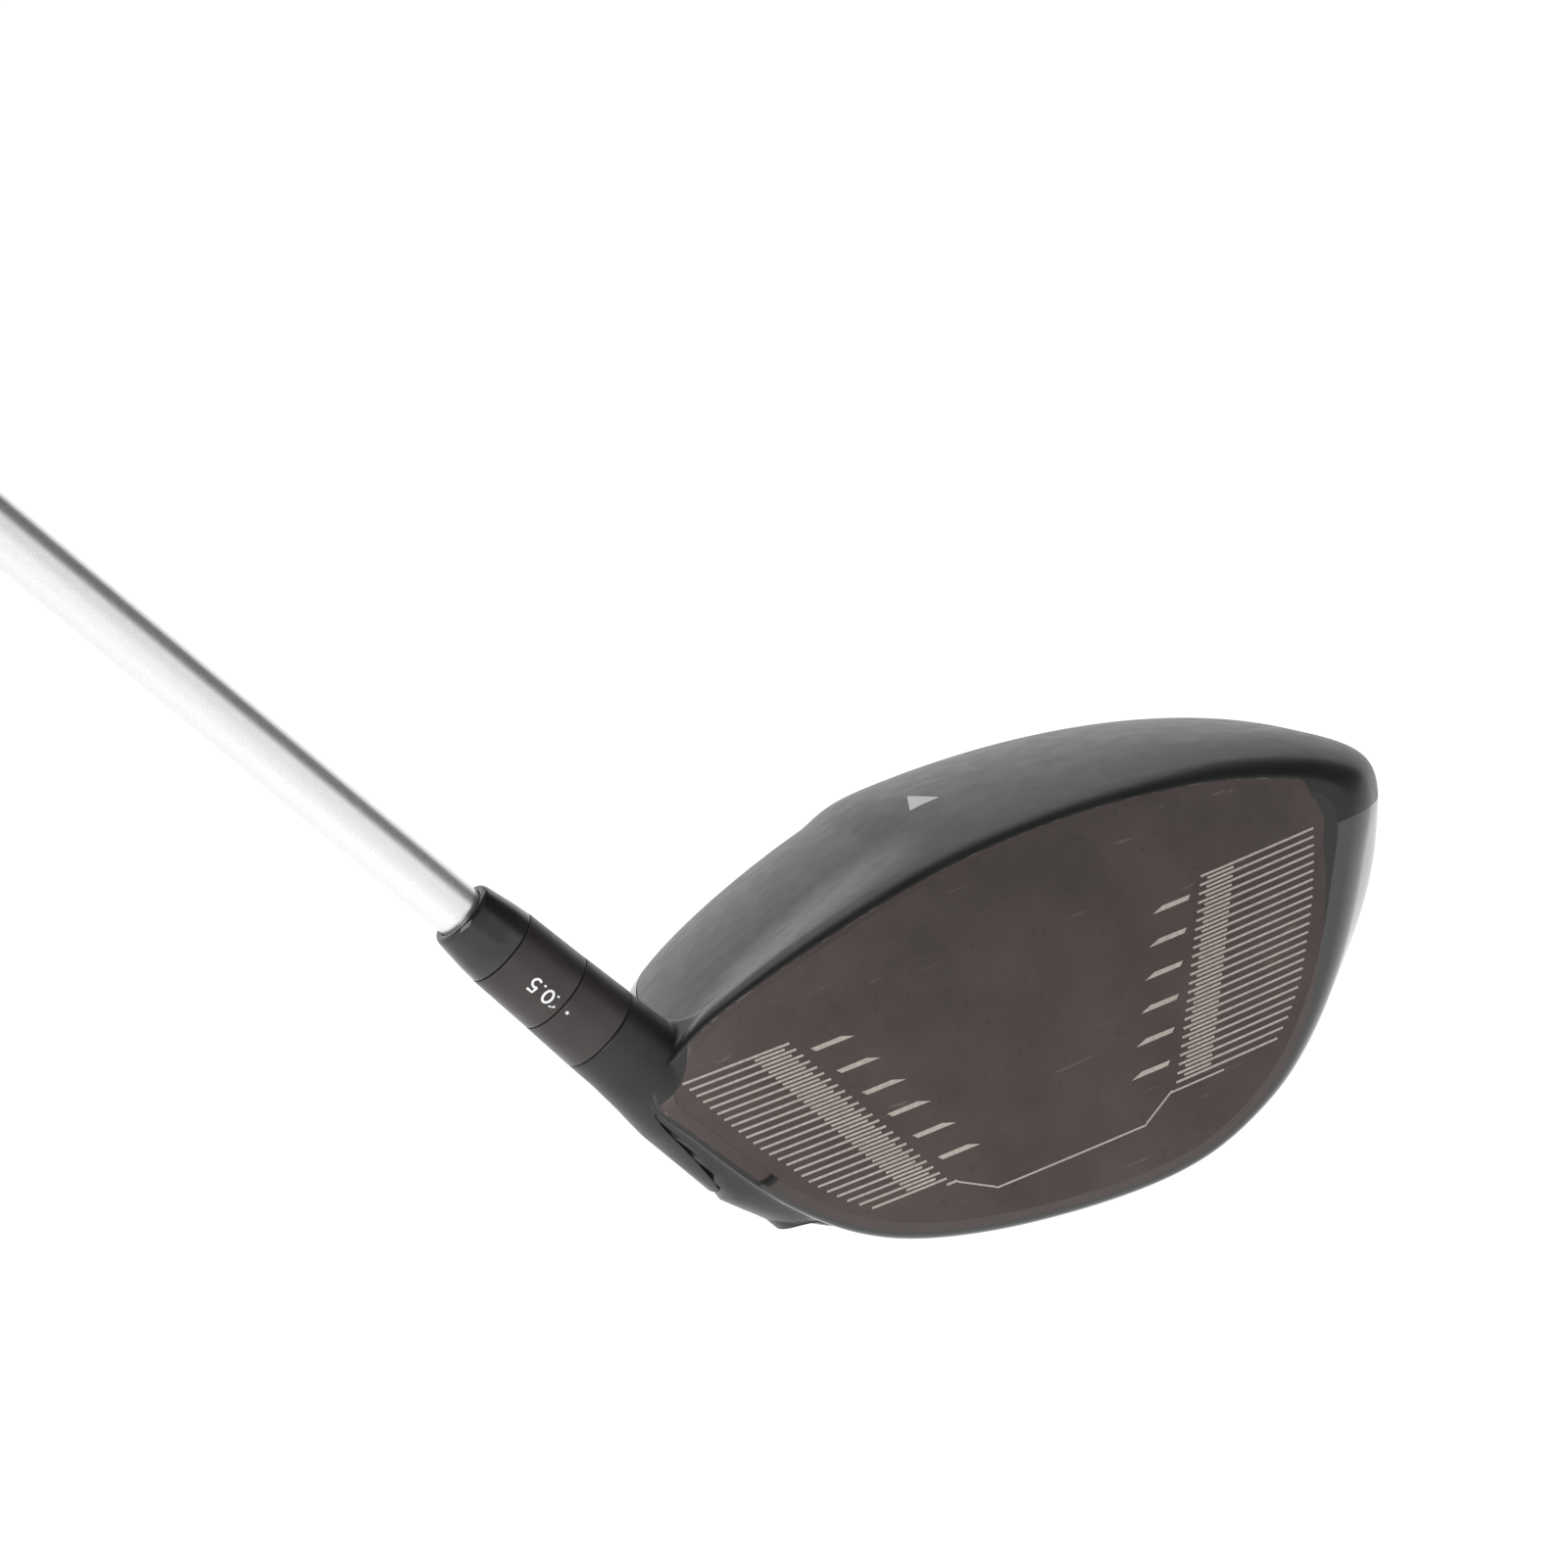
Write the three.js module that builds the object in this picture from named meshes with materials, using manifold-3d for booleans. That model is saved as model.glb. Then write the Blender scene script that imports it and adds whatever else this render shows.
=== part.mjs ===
// Left-handed golf driver with an adjustable loft sleeve: hollow head, shaft and grip.
// Millimetres, +X towards the toe, +Y towards the back of the head, +Z up, face towards -Y.
// The origin is the middle of the flat that the sole rests on.
import * as THREE from 'three';
import { mergeVertices } from 'three/addons/utils/BufferGeometryUtils.js';
import Module from 'manifold-3d';

const wasm = await Module();
wasm.setup();
const { Manifold, Mesh: SolidMesh } = wasm;

// ---- driving dimensions, measured from the face centre -------------------------------------
const GAP = 0.3; // clearance between neighbouring pieces
const LOFT = THREE.MathUtils.degToRad(10.5); // face loft
const LIE = THREE.MathUtils.degToRad(60); // shaft axis above the ground
const BULGE = 310; // face radius, heel to toe
const ROLL = 291; // face radius, top to bottom
const HEAD_DEPTH = 106; // face centre to the trailing edge
const WIDEST_Y = 22; // depth at which the planform is widest
const TOE_REACH = 79;
const HEEL_REACH = 52;
const TOE_ROUND = 2.55; // planform exponents behind the widest place
const HEEL_ROUND = 3.0;
const EDGE_ROUND = 4; // depth over which the face edge rounds into the walls
const TOE_FLARE = 3.1; // how far the toe wall stands outside the face outline
const WALL_FLARE = 1.5; // the same for the crown, sole and heel walls
const CROWN_PEAK = { z: 31.2, y: 24 };
const SOLE_LOW = { z: -34, y: 38 };
const BELT = { front: 8.5, middle: 5, back: 2.5 }; // height of the widest line round the head
const RIDGE = { front: 10, back: 9 }; // x of the crown ridge
const FULLNESS = { crownToe: 2.1, crownHeel: 1.35, soleToe: 1.95, soleHeel: 3.0 };
const BLEND_DEPTH = 32; // depth by which the sections have lost the shape of the face
const GROUND = 33.75; // height of the face centre above the ground
const REST = { x: 5.5, y: 33.5 }; // middle of the sole flat
const FACE_OUTLINE = [ // x towards the toe, z up
  [66, 12], [61, 18], [47.5, 23.5], [33, 26.7], [16, 28.5], [-2, 28.2], [-19, 25.8], [-37, 21.7],
  [-50.5, 17], [-59, 10], [-55, 2], [-45, -12], [-33, -21.5], [-17, -26.8], [4, -29.8],
  [20, -29.8], [32.5, -26.2], [42, -20.5], [51.5, -11], [60, 1],
];

// walls, as depths below the outer surface
const PANEL_WALL = 1.0; // crown and sole shells
const FRONT_WALL = 2.2; // cast front body
const FRONT_DEPTH = 26; // depth at which the shells take over from the front body
const SEAM_WIDTH = 6; // strip that bonds the crown to the sole
const SEAM_START = 35;
const BOND_THICKNESS = 0.8;
const SEAM_LIFT = { height: 4, heelward: [10, 45], back: [25, 60] }; // rise of the sole's edge at the rear heel
const FACE_THICKNESS = 2.8;
const FACE_INSET = 0.95; // face plate outline as a share of the face outline
const FACE_JOINT = 0.008; // clearance round the face plate, as a share of the face outline
const FACE_MIDDLE = 0.5; // share of the outline at which the face's middle ring lies
const PLATE_ROOM = 0.7; // clear space kept behind the face plate

// hosel stations, along the hosel axis from the height of the face centre
const HOSEL = { x: -49.8, y: 15.5 };
const HOSEL_TOP = 25.2;
const RING_TOP = 34.6;
const SLEEVE_TOP = 46.2;
const FERRULE_TOP = 55;
const SLEEVE_END = -2;
const SEAT_AT = -8; // shoulder that the hosel screw clamps on
const TUBE_END = -34;
const BORE_RADIUS = 5.5;
const BARREL_RADIUS = 5.0;
const TUBE_RADIUS = 7.2;
const HOSEL_RADIUS = { top: 7.5, root: 8.6 };
const NECK_WAIST = [[8.6, 8], [8.0, 14], [7.6, 20]]; // radius and place of the neck's corners
const NECK_FOOT = 2; // the cast neck reaches this far down inside the head
const RING_RADIUS = { bottom: 7.45, top: 7.1 };
const SLEEVE_RADIUS = { bottom: 7.0, top: 6.75 };
const FERRULE_CORNERS = [[6.7, SLEEVE_TOP + GAP], [6.4, 49], [5.7, 53.6], [5.5, FERRULE_TOP]];
const SCREW = { shank: 2.4, head: 4.2, headHeight: 4, hex: 2.2, socketDepth: 3, top: 6 };
const SEAT = { thickness: 2, clearance: 0.6 }; // the shoulder's height and the play round the screw
const WASHER = { thickness: 1, overhang: 0.4 };
const RETAINER = { radius: 4.4, height: 1.6 };

// shaft and grip, along the same axis
const SHAFT_TIP = 8;
const BUTT_END = 1113;
const GRIP_MOUTH = 843;
const SHAFT_RADIUS = { tip: 4.3, butt: 7.6, bore: 3.2, buttBore: 6.3 };
const TIP_LENGTH = 100; // parallel length at the tip
const TIP_PLUG = { inset: 1, length: 15 };
const TAPE = { inset: 8, thickness: 0.8 };
const GRIP_RADIUS = { mouth: 9.4, butt: 13.2 };
const GRIP_LIP = { radius: 0.6, height: 2 }; // rounding of the mouth
const GRIP_SWELL = { radius: 1, length: 60 }; // extra flare at the butt
const GRIP_SEAT = 1.1; // from the shaft's surface to the rubber
const CAP = { radius: 13.6, height: 4, plug: 6, plugLength: 9, vent: 1.2, lip: 0.3, lipHeight: 1, edge: 0.8, crown: 2.4 };

// rear weight
const WEIGHT = { radius: 9, height: 6.5, y: 82, sunk: 0.8, chamfer: 0.6, clearBelow: 0.4 };
const WEIGHT_PORT = { wall: 1.4, floor: 2, room: 1 };
const WEIGHT_SCREW = { head: 3.4, headHeight: 3.2, shank: 1.6, bore: 1.9, hex: 1.8, socketDepth: 1.8 };

// ---- meshes and solids -----------------------------------------------------------------------
const ROUND_SIDES = 32;
const SLIM_SIDES = 24;
const HEX_SIDES = 6;
const WELD = 0.002; // vertices closer than this are one
const RIBS = 44; // points round one section of the head
const FAR = 200; // well outside every piece, for cutters

function solidOf(geometry) {
  const bare = geometry.clone();
  bare.deleteAttribute('normal');
  bare.deleteAttribute('uv');
  const merged = mergeVertices(bare, WELD);
  return new Manifold(new SolidMesh({
    numProp: 3,
    vertProperties: new Float32Array(merged.attributes.position.array),
    triVerts: new Uint32Array(merged.index.array),
  }));
}

const largestBody = (solid) => solid.decompose().sort((a, b) => b.volume() - a.volume())[0];

function rawGeometry(solid) {
  const mesh = solid.getMesh();
  const geometry = new THREE.BufferGeometry();
  const places = new Float32Array(mesh.numVert * 3);
  for (let v = 0; v < mesh.numVert; v++) {
    for (let k = 0; k < 3; k++) places[v * 3 + k] = mesh.vertProperties[v * mesh.numProp + k];
  }
  geometry.setAttribute('position', new THREE.BufferAttribute(places, 3));
  geometry.setIndex([...mesh.triVerts]);
  return geometry;
}

// The geometry of a solid's largest body, welded twice so that slivers left by a cut drop out.
function geometryOf(solid) {
  const welded = largestBody(solidOf(rawGeometry(largestBody(solid))));
  const geometry = rawGeometry(welded);
  geometry.computeVertexNormals();
  return geometry;
}

// A turned piece about +Z from [radius, height] corners that close on themselves or on the axis.
function turned(profile, sides = ROUND_SIDES) {
  const points = profile.map(([radius, height]) => new THREE.Vector2(radius, height));
  return new THREE.LatheGeometry(points, sides).rotateX(Math.PI / 2);
}

// A hollow turned piece: outer corners from the bottom up, inner corners from the bottom up.
function sleeveOf(outer, inner, sides = ROUND_SIDES) {
  return turned([...outer, ...inner.slice().reverse(), outer[0]], sides);
}

function rod(radius, low, high, sides = ROUND_SIDES) {
  return turned([[0, low], [radius, low], [radius, high], [0, high]], sides);
}

// Directions of the turned pieces: +Z of the piece goes along the axis.
function axisMatrix(origin, direction) {
  const turn = new THREE.Quaternion().setFromUnitVectors(new THREE.Vector3(0, 0, 1), direction);
  return new THREE.Matrix4().compose(origin, turn, new THREE.Vector3(1, 1, 1));
}

const hoselAxis = new THREE.Vector3(-Math.cos(LIE), 0, Math.sin(LIE));
const hoselMatrix = axisMatrix(new THREE.Vector3(HOSEL.x, HOSEL.y, 0), hoselAxis);
const onHosel = (geometry) => solidOf(geometry.applyMatrix4(hoselMatrix));

// ---- outer surface of the head ---------------------------------------------------------------
const clamp01 = (value) => Math.min(1, Math.max(0, value));
const smooth = (t) => t * t * (3 - 2 * t);
const power = (value, exponent) => Math.pow(Math.abs(value), exponent);

// Depth of the bulged, rolled and lofted face behind the plane Y = 0.
function faceDepth(x, z) {
  const h = z / Math.cos(LOFT);
  return h * Math.sin(LOFT) + (x * x / (2 * BULGE) + h * h / (2 * ROLL)) * Math.cos(LOFT);
}

const outlineCurve = new THREE.CatmullRomCurve3(
  FACE_OUTLINE.map(([x, z]) => new THREE.Vector3(x, z, 0)), true, 'catmullrom', 0.5);
const outlinePolar = outlineCurve.getPoints(1200).slice(0, -1).map((point) => {
  const dx = point.x - RIDGE.front;
  const dz = point.y - BELT.front;
  return { angle: Math.atan2(dz, dx), radius: Math.hypot(dx, dz) };
}).sort((a, b) => a.angle - b.angle);

// Radius of the face outline about (ridge, belt) at one angle.
function outlineRadius(angle) {
  const after = outlinePolar.findIndex((entry) => entry.angle >= angle);
  const b = outlinePolar[after < 0 ? 0 : after];
  const a = outlinePolar.at((after < 0 ? 0 : after) - 1);
  const turn = 2 * Math.PI;
  const span = (b.angle - a.angle + turn) % turn || 1;
  const share = ((angle - a.angle + turn) % turn) / span;
  return a.radius + (b.radius - a.radius) * share;
}

const outlineXs = outlinePolar.map((entry) => entry.radius * Math.cos(entry.angle));
const outlineZs = outlinePolar.map((entry) => entry.radius * Math.sin(entry.angle));
const FACE_TOE = Math.max(...outlineXs);
const FACE_HEEL = -Math.min(...outlineXs);
const FACE_TOP = Math.max(...outlineZs);
const FACE_BOTTOM = -Math.min(...outlineZs);

// The driving curves of one section: how far it reaches, and the heights of its belt and ridges.
function sectionAt(y) {
  const behind = clamp01((y - WIDEST_Y) / (HEAD_DEPTH - WIDEST_Y));
  const before = clamp01((WIDEST_Y - y) / WIDEST_Y);
  const edge = clamp01(1 - y / EDGE_ROUND);
  const inset = 1 - Math.sqrt(1 - edge * edge);
  const share = y / HEAD_DEPTH;
  const toeFront = RIDGE.front + FACE_TOE + TOE_FLARE;
  const heelFront = FACE_HEEL - RIDGE.front + WALL_FLARE;
  const toe = TOE_REACH * (1 - behind ** TOE_ROUND) ** (1 / TOE_ROUND)
    - (TOE_REACH - toeFront) * before ** 2 - inset * TOE_FLARE;
  const heel = HEEL_REACH * (1 - behind ** HEEL_ROUND) ** (1 / HEEL_ROUND)
    - (HEEL_REACH - heelFront) * before ** 1.3 - inset * WALL_FLARE;
  const ridge = RIDGE.front * (1 - share) + RIDGE.back * share;
  const belt = BELT.front * (1 - share) ** 2 + 2 * share * (1 - share) * BELT.middle + BELT.back * share ** 2;
  const height = (front, far) => {
    const rise = clamp01(y / far.y);
    const fall = clamp01((y - far.y) / (HEAD_DEPTH - far.y));
    const full = front + (far.z - front) * (1 - (1 - rise) ** 2);
    return belt + (full - belt) * Math.sqrt(1 - fall ** 2.2);
  };
  const crown = height(BELT.front + FACE_TOP + WALL_FLARE, CROWN_PEAK) - inset * WALL_FLARE;
  const sole = height(BELT.front - FACE_BOTTOM - WALL_FLARE, SOLE_LOW) + inset * WALL_FLARE;
  return { toe, heel, ridge, belt, crown, sole };
}

// A point of the outer surface: the section at depth y, at one angle round it.
function headPoint(angle, y) {
  const radius = outlineRadius(angle);
  const dx = radius * Math.cos(angle);
  const dz = radius * Math.sin(angle);
  const faceX = dx / (dx >= 0 ? FACE_TOE : FACE_HEEL);
  const faceZ = dz / (dz >= 0 ? FACE_TOP : FACE_BOTTOM);
  const n = dz >= 0
    ? (dx > 0 ? FULLNESS.crownToe : FULLNESS.crownHeel)
    : (dx > 0 ? FULLNESS.soleToe : FULLNESS.soleHeel);
  const polar = Math.atan2(faceZ, faceX);
  const reach = (power(Math.cos(polar), n) + power(Math.sin(polar), n)) ** (-1 / n);
  const t = clamp01(y / BLEND_DEPTH);
  const mix = smooth(t);
  const u = (1 - mix) * faceX + mix * reach * Math.cos(polar);
  const v = (1 - mix) * faceZ + mix * reach * Math.sin(polar);
  const s = sectionAt(y);
  const x = s.ridge + (u >= 0 ? (s.toe - s.ridge) : (s.heel + s.ridge)) * u;
  const z = s.belt + (v >= 0 ? (s.crown - s.belt) : (s.belt - s.sole)) * v;
  return new THREE.Vector3(x, y + faceDepth(x, z) * (1 - y / HEAD_DEPTH) ** 2, z);
}

const flat = (points) => points.flatMap((p) => [p.x, p.y, p.z]);

function geometryFrom(places, index) {
  const geometry = new THREE.BufferGeometry();
  geometry.setAttribute('position', new THREE.Float32BufferAttribute(places, 3));
  geometry.setIndex(index);
  return geometry;
}

// The two triangles of each cell between ring j and the next, for rings whose points start at base.
function ringCells(count, j, after, base) {
  return Array.from({ length: count }, (_, k) => {
    const next = (k + 1) % count;
    const a = base + j * count;
    const b = base + after * count;
    return [a + k, b + k, b + next, a + k, b + next, a + next];
  }).flat();
}

// Height of the line where the gloss sole meets the crown side: the belt, lifted at the rear heel.
function partingHeight(x, y) {
  const { height, heelward, back } = SEAM_LIFT;
  const share = (value, [from, to]) => smooth(clamp01((value - from) / (to - from)));
  const lift = height * share(-x, heelward) * share(y, back);
  return sectionAt(Math.min(Math.max(y, 0), HEAD_DEPTH)).belt + lift;
}

// A closed skin from rings of points, with a pole before the first ring and after the last.
function skin(firstPole, rings, lastPole) {
  const count = rings[0].length;
  const last = 1 + rings.length * count;
  const index = rings.slice(1).flatMap((_, j) => ringCells(count, j, j + 1, 1));
  for (let k = 0; k < count; k++) {
    const next = (k + 1) % count;
    index.push(0, 1 + k, 1 + next, last, last - count + next, last - count + k);
  }
  return geometryFrom(flat([firstPole, ...rings.flat(), lastPole]), index);
}

// A closed band: the last ring joins on to the first.
function band(rings) {
  const count = rings[0].length;
  const index = rings.flatMap((_, j) => ringCells(count, j, (j + 1) % rings.length, 0));
  return geometryFrom(flat(rings.flat()), index);
}

const angles = Array.from({ length: RIBS }, (_, k) => -Math.PI + 2 * Math.PI * (k + 0.5) / RIBS);

// One ring of the face, its outline shrunk to a share and set back by a depth.
function faceRing(share, depth) {
  return angles.map((angle) => {
    const radius = outlineRadius(angle) * share;
    const x = RIDGE.front + radius * Math.cos(angle);
    const z = BELT.front + radius * Math.sin(angle);
    return new THREE.Vector3(x, faceDepth(x, z) + depth, z);
  });
}

const facePole = (depth) => new THREE.Vector3(
  RIDGE.front, faceDepth(RIDGE.front, BELT.front) + depth, BELT.front);

const frontStations = [1.2, 4, 10, 18, FRONT_DEPTH];
const rearStations = [FRONT_DEPTH + GAP, 38, 50, 63, 76, 87, 95.5, 101.5, 104.8];
const headRings = [faceRing(FACE_MIDDLE, 0), faceRing(1, 0),
  ...[...frontStations, ...rearStations].map((y) => angles.map((angle) => headPoint(angle, y)))];
const rearPole = new THREE.Vector3(RIDGE.back, HEAD_DEPTH, BELT.back);
const headSkin = skin(facePole(0), headRings, rearPole);
headSkin.computeVertexNormals();
const FIRST_FRONT = 2; // ring numbers of the first front and rear stations
const FIRST_REAR = FIRST_FRONT + frontStations.length;

// A ring of the head's surface, moved inwards along the surface normals.
function innerRing(ring, depth) {
  const normals = headSkin.attributes.normal;
  return headRings[ring].map((point, k) => {
    const normal = new THREE.Vector3().fromBufferAttribute(normals, 1 + ring * RIBS + k);
    return point.clone().addScaledVector(normal, -depth);
  });
}

const rearRings = (depth) => rearStations.map((_, j) => innerRing(FIRST_REAR + j, depth));
const rearPoleAt = (depth) => rearPole.clone().add(new THREE.Vector3(0, -depth, 0));

// The rear of the head as a bowl, open at the front, between two depths below the outer surface.
function rearBowl(top, bottom) {
  const rings = [...rearRings(bottom).reverse(), ...rearRings(top)];
  return solidOf(skin(rearPoleAt(bottom), rings, rearPoleAt(top)));
}

// The space inside the head, from just behind the face plate to the trailing edge.
function insideSolid(depth) {
  const behindPlate = FACE_THICKNESS + GAP;
  const rings = [faceRing(FACE_INSET - 0.1, behindPlate)];
  for (let ring = FIRST_FRONT + 1; ring < headRings.length; ring++) rings.push(innerRing(ring, depth));
  return solidOf(skin(facePole(behindPlate), rings, rearPoleAt(depth)));
}

// ---- cutters ---------------------------------------------------------------------------------
// A block under (or over) the surface that parts the sole from the crown side.
function partingBlock(shift, above) {
  const xs = Array.from({ length: 13 }, (_, i) => -90 + i * 15);
  const ys = Array.from({ length: 11 }, (_, j) => -10 + j * 13);
  const far = above ? 60 : -60;
  const level = xs.map((x) => ys.map((y) => new THREE.Vector3(x, y, partingHeight(x, y) + shift)));
  const rim = [];
  level.forEach((row) => rim.push(row[0]));
  level.at(-1).slice(1).forEach((p) => rim.push(p));
  level.slice(0, -1).reverse().forEach((row) => rim.push(row.at(-1)));
  level[0].slice(1, -1).reverse().forEach((p) => rim.push(p));
  const places = [...level.flat(), ...rim.map((p) => new THREE.Vector3(p.x, p.y, far)),
    new THREE.Vector3(0, HEAD_DEPTH / 2, far)].flatMap((p) => [p.x, p.y, p.z]);
  const index = [];
  const at = (i, j) => i * ys.length + j;
  for (let i = 0; i + 1 < xs.length; i++) {
    for (let j = 0; j + 1 < ys.length; j++) {
      index.push(at(i, j), at(i + 1, j), at(i + 1, j + 1), at(i, j), at(i + 1, j + 1), at(i, j + 1));
    }
  }
  const rimIndex = rim.map((p) => level.flat().indexOf(p));
  const base = xs.length * ys.length;
  rim.forEach((_, k) => {
    const next = (k + 1) % rim.length;
    index.push(rimIndex[k], base + k, base + next, rimIndex[k], base + next, rimIndex[next]);
    index.push(base + rim.length, base + next, base + k);
  });
  if (above) index.reverse();
  return solidOf(geometryFrom(places, index));
}

// ---- pieces of the head ------------------------------------------------------------------------
const groundCut = solidOf(new THREE.BoxGeometry(2 * FAR, 2 * FAR, FAR).translate(0, 0, -GROUND - FAR / 2));

// Rear weight axis: square to the sole, pointing out of it.
const weightAngle = -Math.PI / 2;
const weightSpot = headPoint(weightAngle, WEIGHT.y);
const weightAlong = headPoint(weightAngle, WEIGHT.y + 1).sub(headPoint(weightAngle, WEIGHT.y - 1));
const weightAxis = new THREE.Vector3(0, weightAlong.z, -weightAlong.y).normalize();
const weightMatrix = axisMatrix(weightSpot, weightAxis);
const onWeight = (geometry) => solidOf(geometry.applyMatrix4(weightMatrix));

function facePlate() {
  return skin(facePole(0), [faceRing(FACE_MIDDLE, 0), faceRing(FACE_INSET, 0),
    faceRing(FACE_INSET, FACE_THICKNESS), faceRing(FACE_MIDDLE, FACE_THICKNESS)], facePole(FACE_THICKNESS));
}

// The cast front of the head: the rim round the face, the walls behind it and the hosel.
function frontBody() {
  const rim = FACE_INSET + FACE_JOINT;
  const outside = headRings.slice(FIRST_FRONT - 1, FIRST_REAR);
  const inside = frontStations.slice(1).map((_, j) => innerRing(FIRST_FRONT + 1 + j, FRONT_WALL)).reverse();
  const walls = solidOf(band([faceRing(rim, 0), ...outside, ...inside, faceRing(rim, FACE_THICKNESS + GAP)]));
  const neck = onHosel(turned([[0, NECK_FOOT], [HOSEL_RADIUS.root, NECK_FOOT], ...NECK_WAIST,
    [HOSEL_RADIUS.top, HOSEL_TOP], [0, HOSEL_TOP]]));
  const behindPlate = FACE_THICKNESS + PLATE_ROOM;
  const past = 1.07; // share of the outline that clears the whole plate
  const plateRoom = solidOf(skin(facePole(-20), [faceRing(past, -20), faceRing(past, behindPlate)],
    facePole(behindPlate)));
  return walls.add(neck.subtract(plateRoom)).subtract(onHosel(rod(BORE_RADIUS, -FAR, FAR)));
}

function crownShell() {
  return rearBowl(0, PANEL_WALL).intersect(partingBlock(GAP / 2, true));
}

function soleShell() {
  return rearBowl(0, PANEL_WALL).intersect(partingBlock(-GAP / 2, false)).subtract(groundCut)
    .subtract(onWeight(rod(WEIGHT.radius + WEIGHT_PORT.wall + GAP, -20, 20)));
}

// The strip inside the seam that bonds the crown to the sole.
function seamBond() {
  return rearBowl(PANEL_WALL + GAP, PANEL_WALL + GAP + BOND_THICKNESS)
    .intersect(partingBlock(-SEAM_WIDTH / 2, true))
    .intersect(partingBlock(SEAM_WIDTH / 2, false))
    .intersect(solidOf(new THREE.BoxGeometry(2 * FAR, FAR, 2 * FAR).translate(0, SEAM_START + FAR / 2, 0)));
}

const SEAT_UNDER = SEAT_AT - SEAT.thickness;

function hoselTube() {
  return onHosel(sleeveOf(
    [[TUBE_RADIUS, TUBE_END], [TUBE_RADIUS, NECK_FOOT - GAP]],
    [[BORE_RADIUS, TUBE_END], [BORE_RADIUS, SEAT_UNDER], [SCREW.shank + SEAT.clearance, SEAT_UNDER],
      [SCREW.shank + SEAT.clearance, SEAT_AT], [BORE_RADIUS, SEAT_AT], [BORE_RADIUS, NECK_FOOT - GAP]]))
    .intersect(insideSolid(FRONT_WALL + 3 * GAP));
}

function weightPort() {
  const r = WEIGHT.radius;
  const outer = r + WEIGHT_PORT.wall;
  const floor = -WEIGHT.height - WEIGHT_PORT.room;
  const under = floor - WEIGHT_PORT.floor;
  const past = 10; // runs out through the sole, whose surface trims it
  return onWeight(turned([[0, under], [outer, under], [outer, past], [r, past], [r, floor], [0, floor]]))
    .intersect(solidOf(headSkin.clone()));
}

// ---- turned pieces on the hosel axis -----------------------------------------------------------
// Places are along the axis; each piece is turned about +Z and its mesh is set on the axis.
function shaftRadius(at) {
  const rise = clamp01((at - SHAFT_TIP - TIP_LENGTH) / (BUTT_END - SHAFT_TIP - TIP_LENGTH));
  return SHAFT_RADIUS.tip + (SHAFT_RADIUS.butt - SHAFT_RADIUS.tip) * rise;
}

function loftSleeve() {
  return sleeveOf(
    [[BARREL_RADIUS, SLEEVE_END], [BARREL_RADIUS, RING_TOP + GAP], [SLEEVE_RADIUS.bottom, RING_TOP + GAP],
      [SLEEVE_RADIUS.top, SLEEVE_TOP]],
    [[SCREW.shank + GAP, SLEEVE_END], [SCREW.shank + GAP, SHAFT_TIP - GAP],
      [SHAFT_RADIUS.tip + GAP, SHAFT_TIP - GAP], [SHAFT_RADIUS.tip + GAP, SLEEVE_TOP]]);
}

function loftRing() {
  const bore = BARREL_RADIUS + GAP;
  return sleeveOf([[RING_RADIUS.bottom, HOSEL_TOP + GAP], [RING_RADIUS.top, RING_TOP]],
    [[bore, HOSEL_TOP + GAP], [bore, RING_TOP]]);
}

function ferrule() {
  const bore = SHAFT_RADIUS.tip + GAP;
  return sleeveOf(FERRULE_CORNERS, [[bore, SLEEVE_TOP + GAP], [bore, FERRULE_TOP]]);
}

function shaft() {
  const stops = [SHAFT_TIP, SHAFT_TIP + TIP_LENGTH, (SHAFT_TIP + BUTT_END) / 2, BUTT_END];
  return sleeveOf(stops.map((at) => [shaftRadius(at), at]),
    [[SHAFT_RADIUS.bore, SHAFT_TIP], [SHAFT_RADIUS.buttBore, BUTT_END]], SLIM_SIDES);
}

function tipPlug() {
  const low = SHAFT_TIP + TIP_PLUG.inset;
  return rod(SHAFT_RADIUS.bore - GAP, low, low + TIP_PLUG.length, SLIM_SIDES);
}

function gripTape() {
  const low = GRIP_MOUTH + TAPE.inset;
  const high = BUTT_END - 1;
  const wall = (offset) => [low, high].map((at) => [shaftRadius(at) + offset, at]);
  return sleeveOf(wall(TAPE.thickness), wall(GAP), SLIM_SIDES);
}

function grip() {
  const { mouth, butt } = GRIP_RADIUS;
  return sleeveOf(
    [[mouth - GRIP_LIP.radius, GRIP_MOUTH], [mouth, GRIP_MOUTH + GRIP_LIP.height],
      [butt - GRIP_SWELL.radius, BUTT_END - GRIP_SWELL.length], [butt, BUTT_END]],
    [GRIP_MOUTH, BUTT_END].map((at) => [shaftRadius(at) + GRIP_SEAT, at]));
}

function gripCap() {
  const bottom = BUTT_END + GAP;
  const top = bottom + CAP.height;
  return sleeveOf(
    [[CAP.plug, bottom - CAP.plugLength], [CAP.plug, bottom], [CAP.radius - CAP.lip, bottom],
      [CAP.radius, bottom + CAP.lipHeight], [CAP.radius - CAP.edge, top - CAP.edge], [CAP.radius - CAP.crown, top]],
    [[CAP.vent, bottom - CAP.plugLength], [CAP.vent, top]]);
}

function hoselScrew() {
  const headTop = SEAT_UNDER - WASHER.thickness - 2 * GAP;
  const headBottom = headTop - SCREW.headHeight;
  const blank = solidOf(turned([[0, headBottom], [SCREW.head, headBottom], [SCREW.head, headTop],
    [SCREW.shank, headTop], [SCREW.shank, SCREW.top], [0, SCREW.top]]));
  const socket = solidOf(rod(SCREW.hex, headBottom - 1, headBottom + SCREW.socketDepth, HEX_SIDES));
  return geometryOf(blank.subtract(socket));
}

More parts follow.
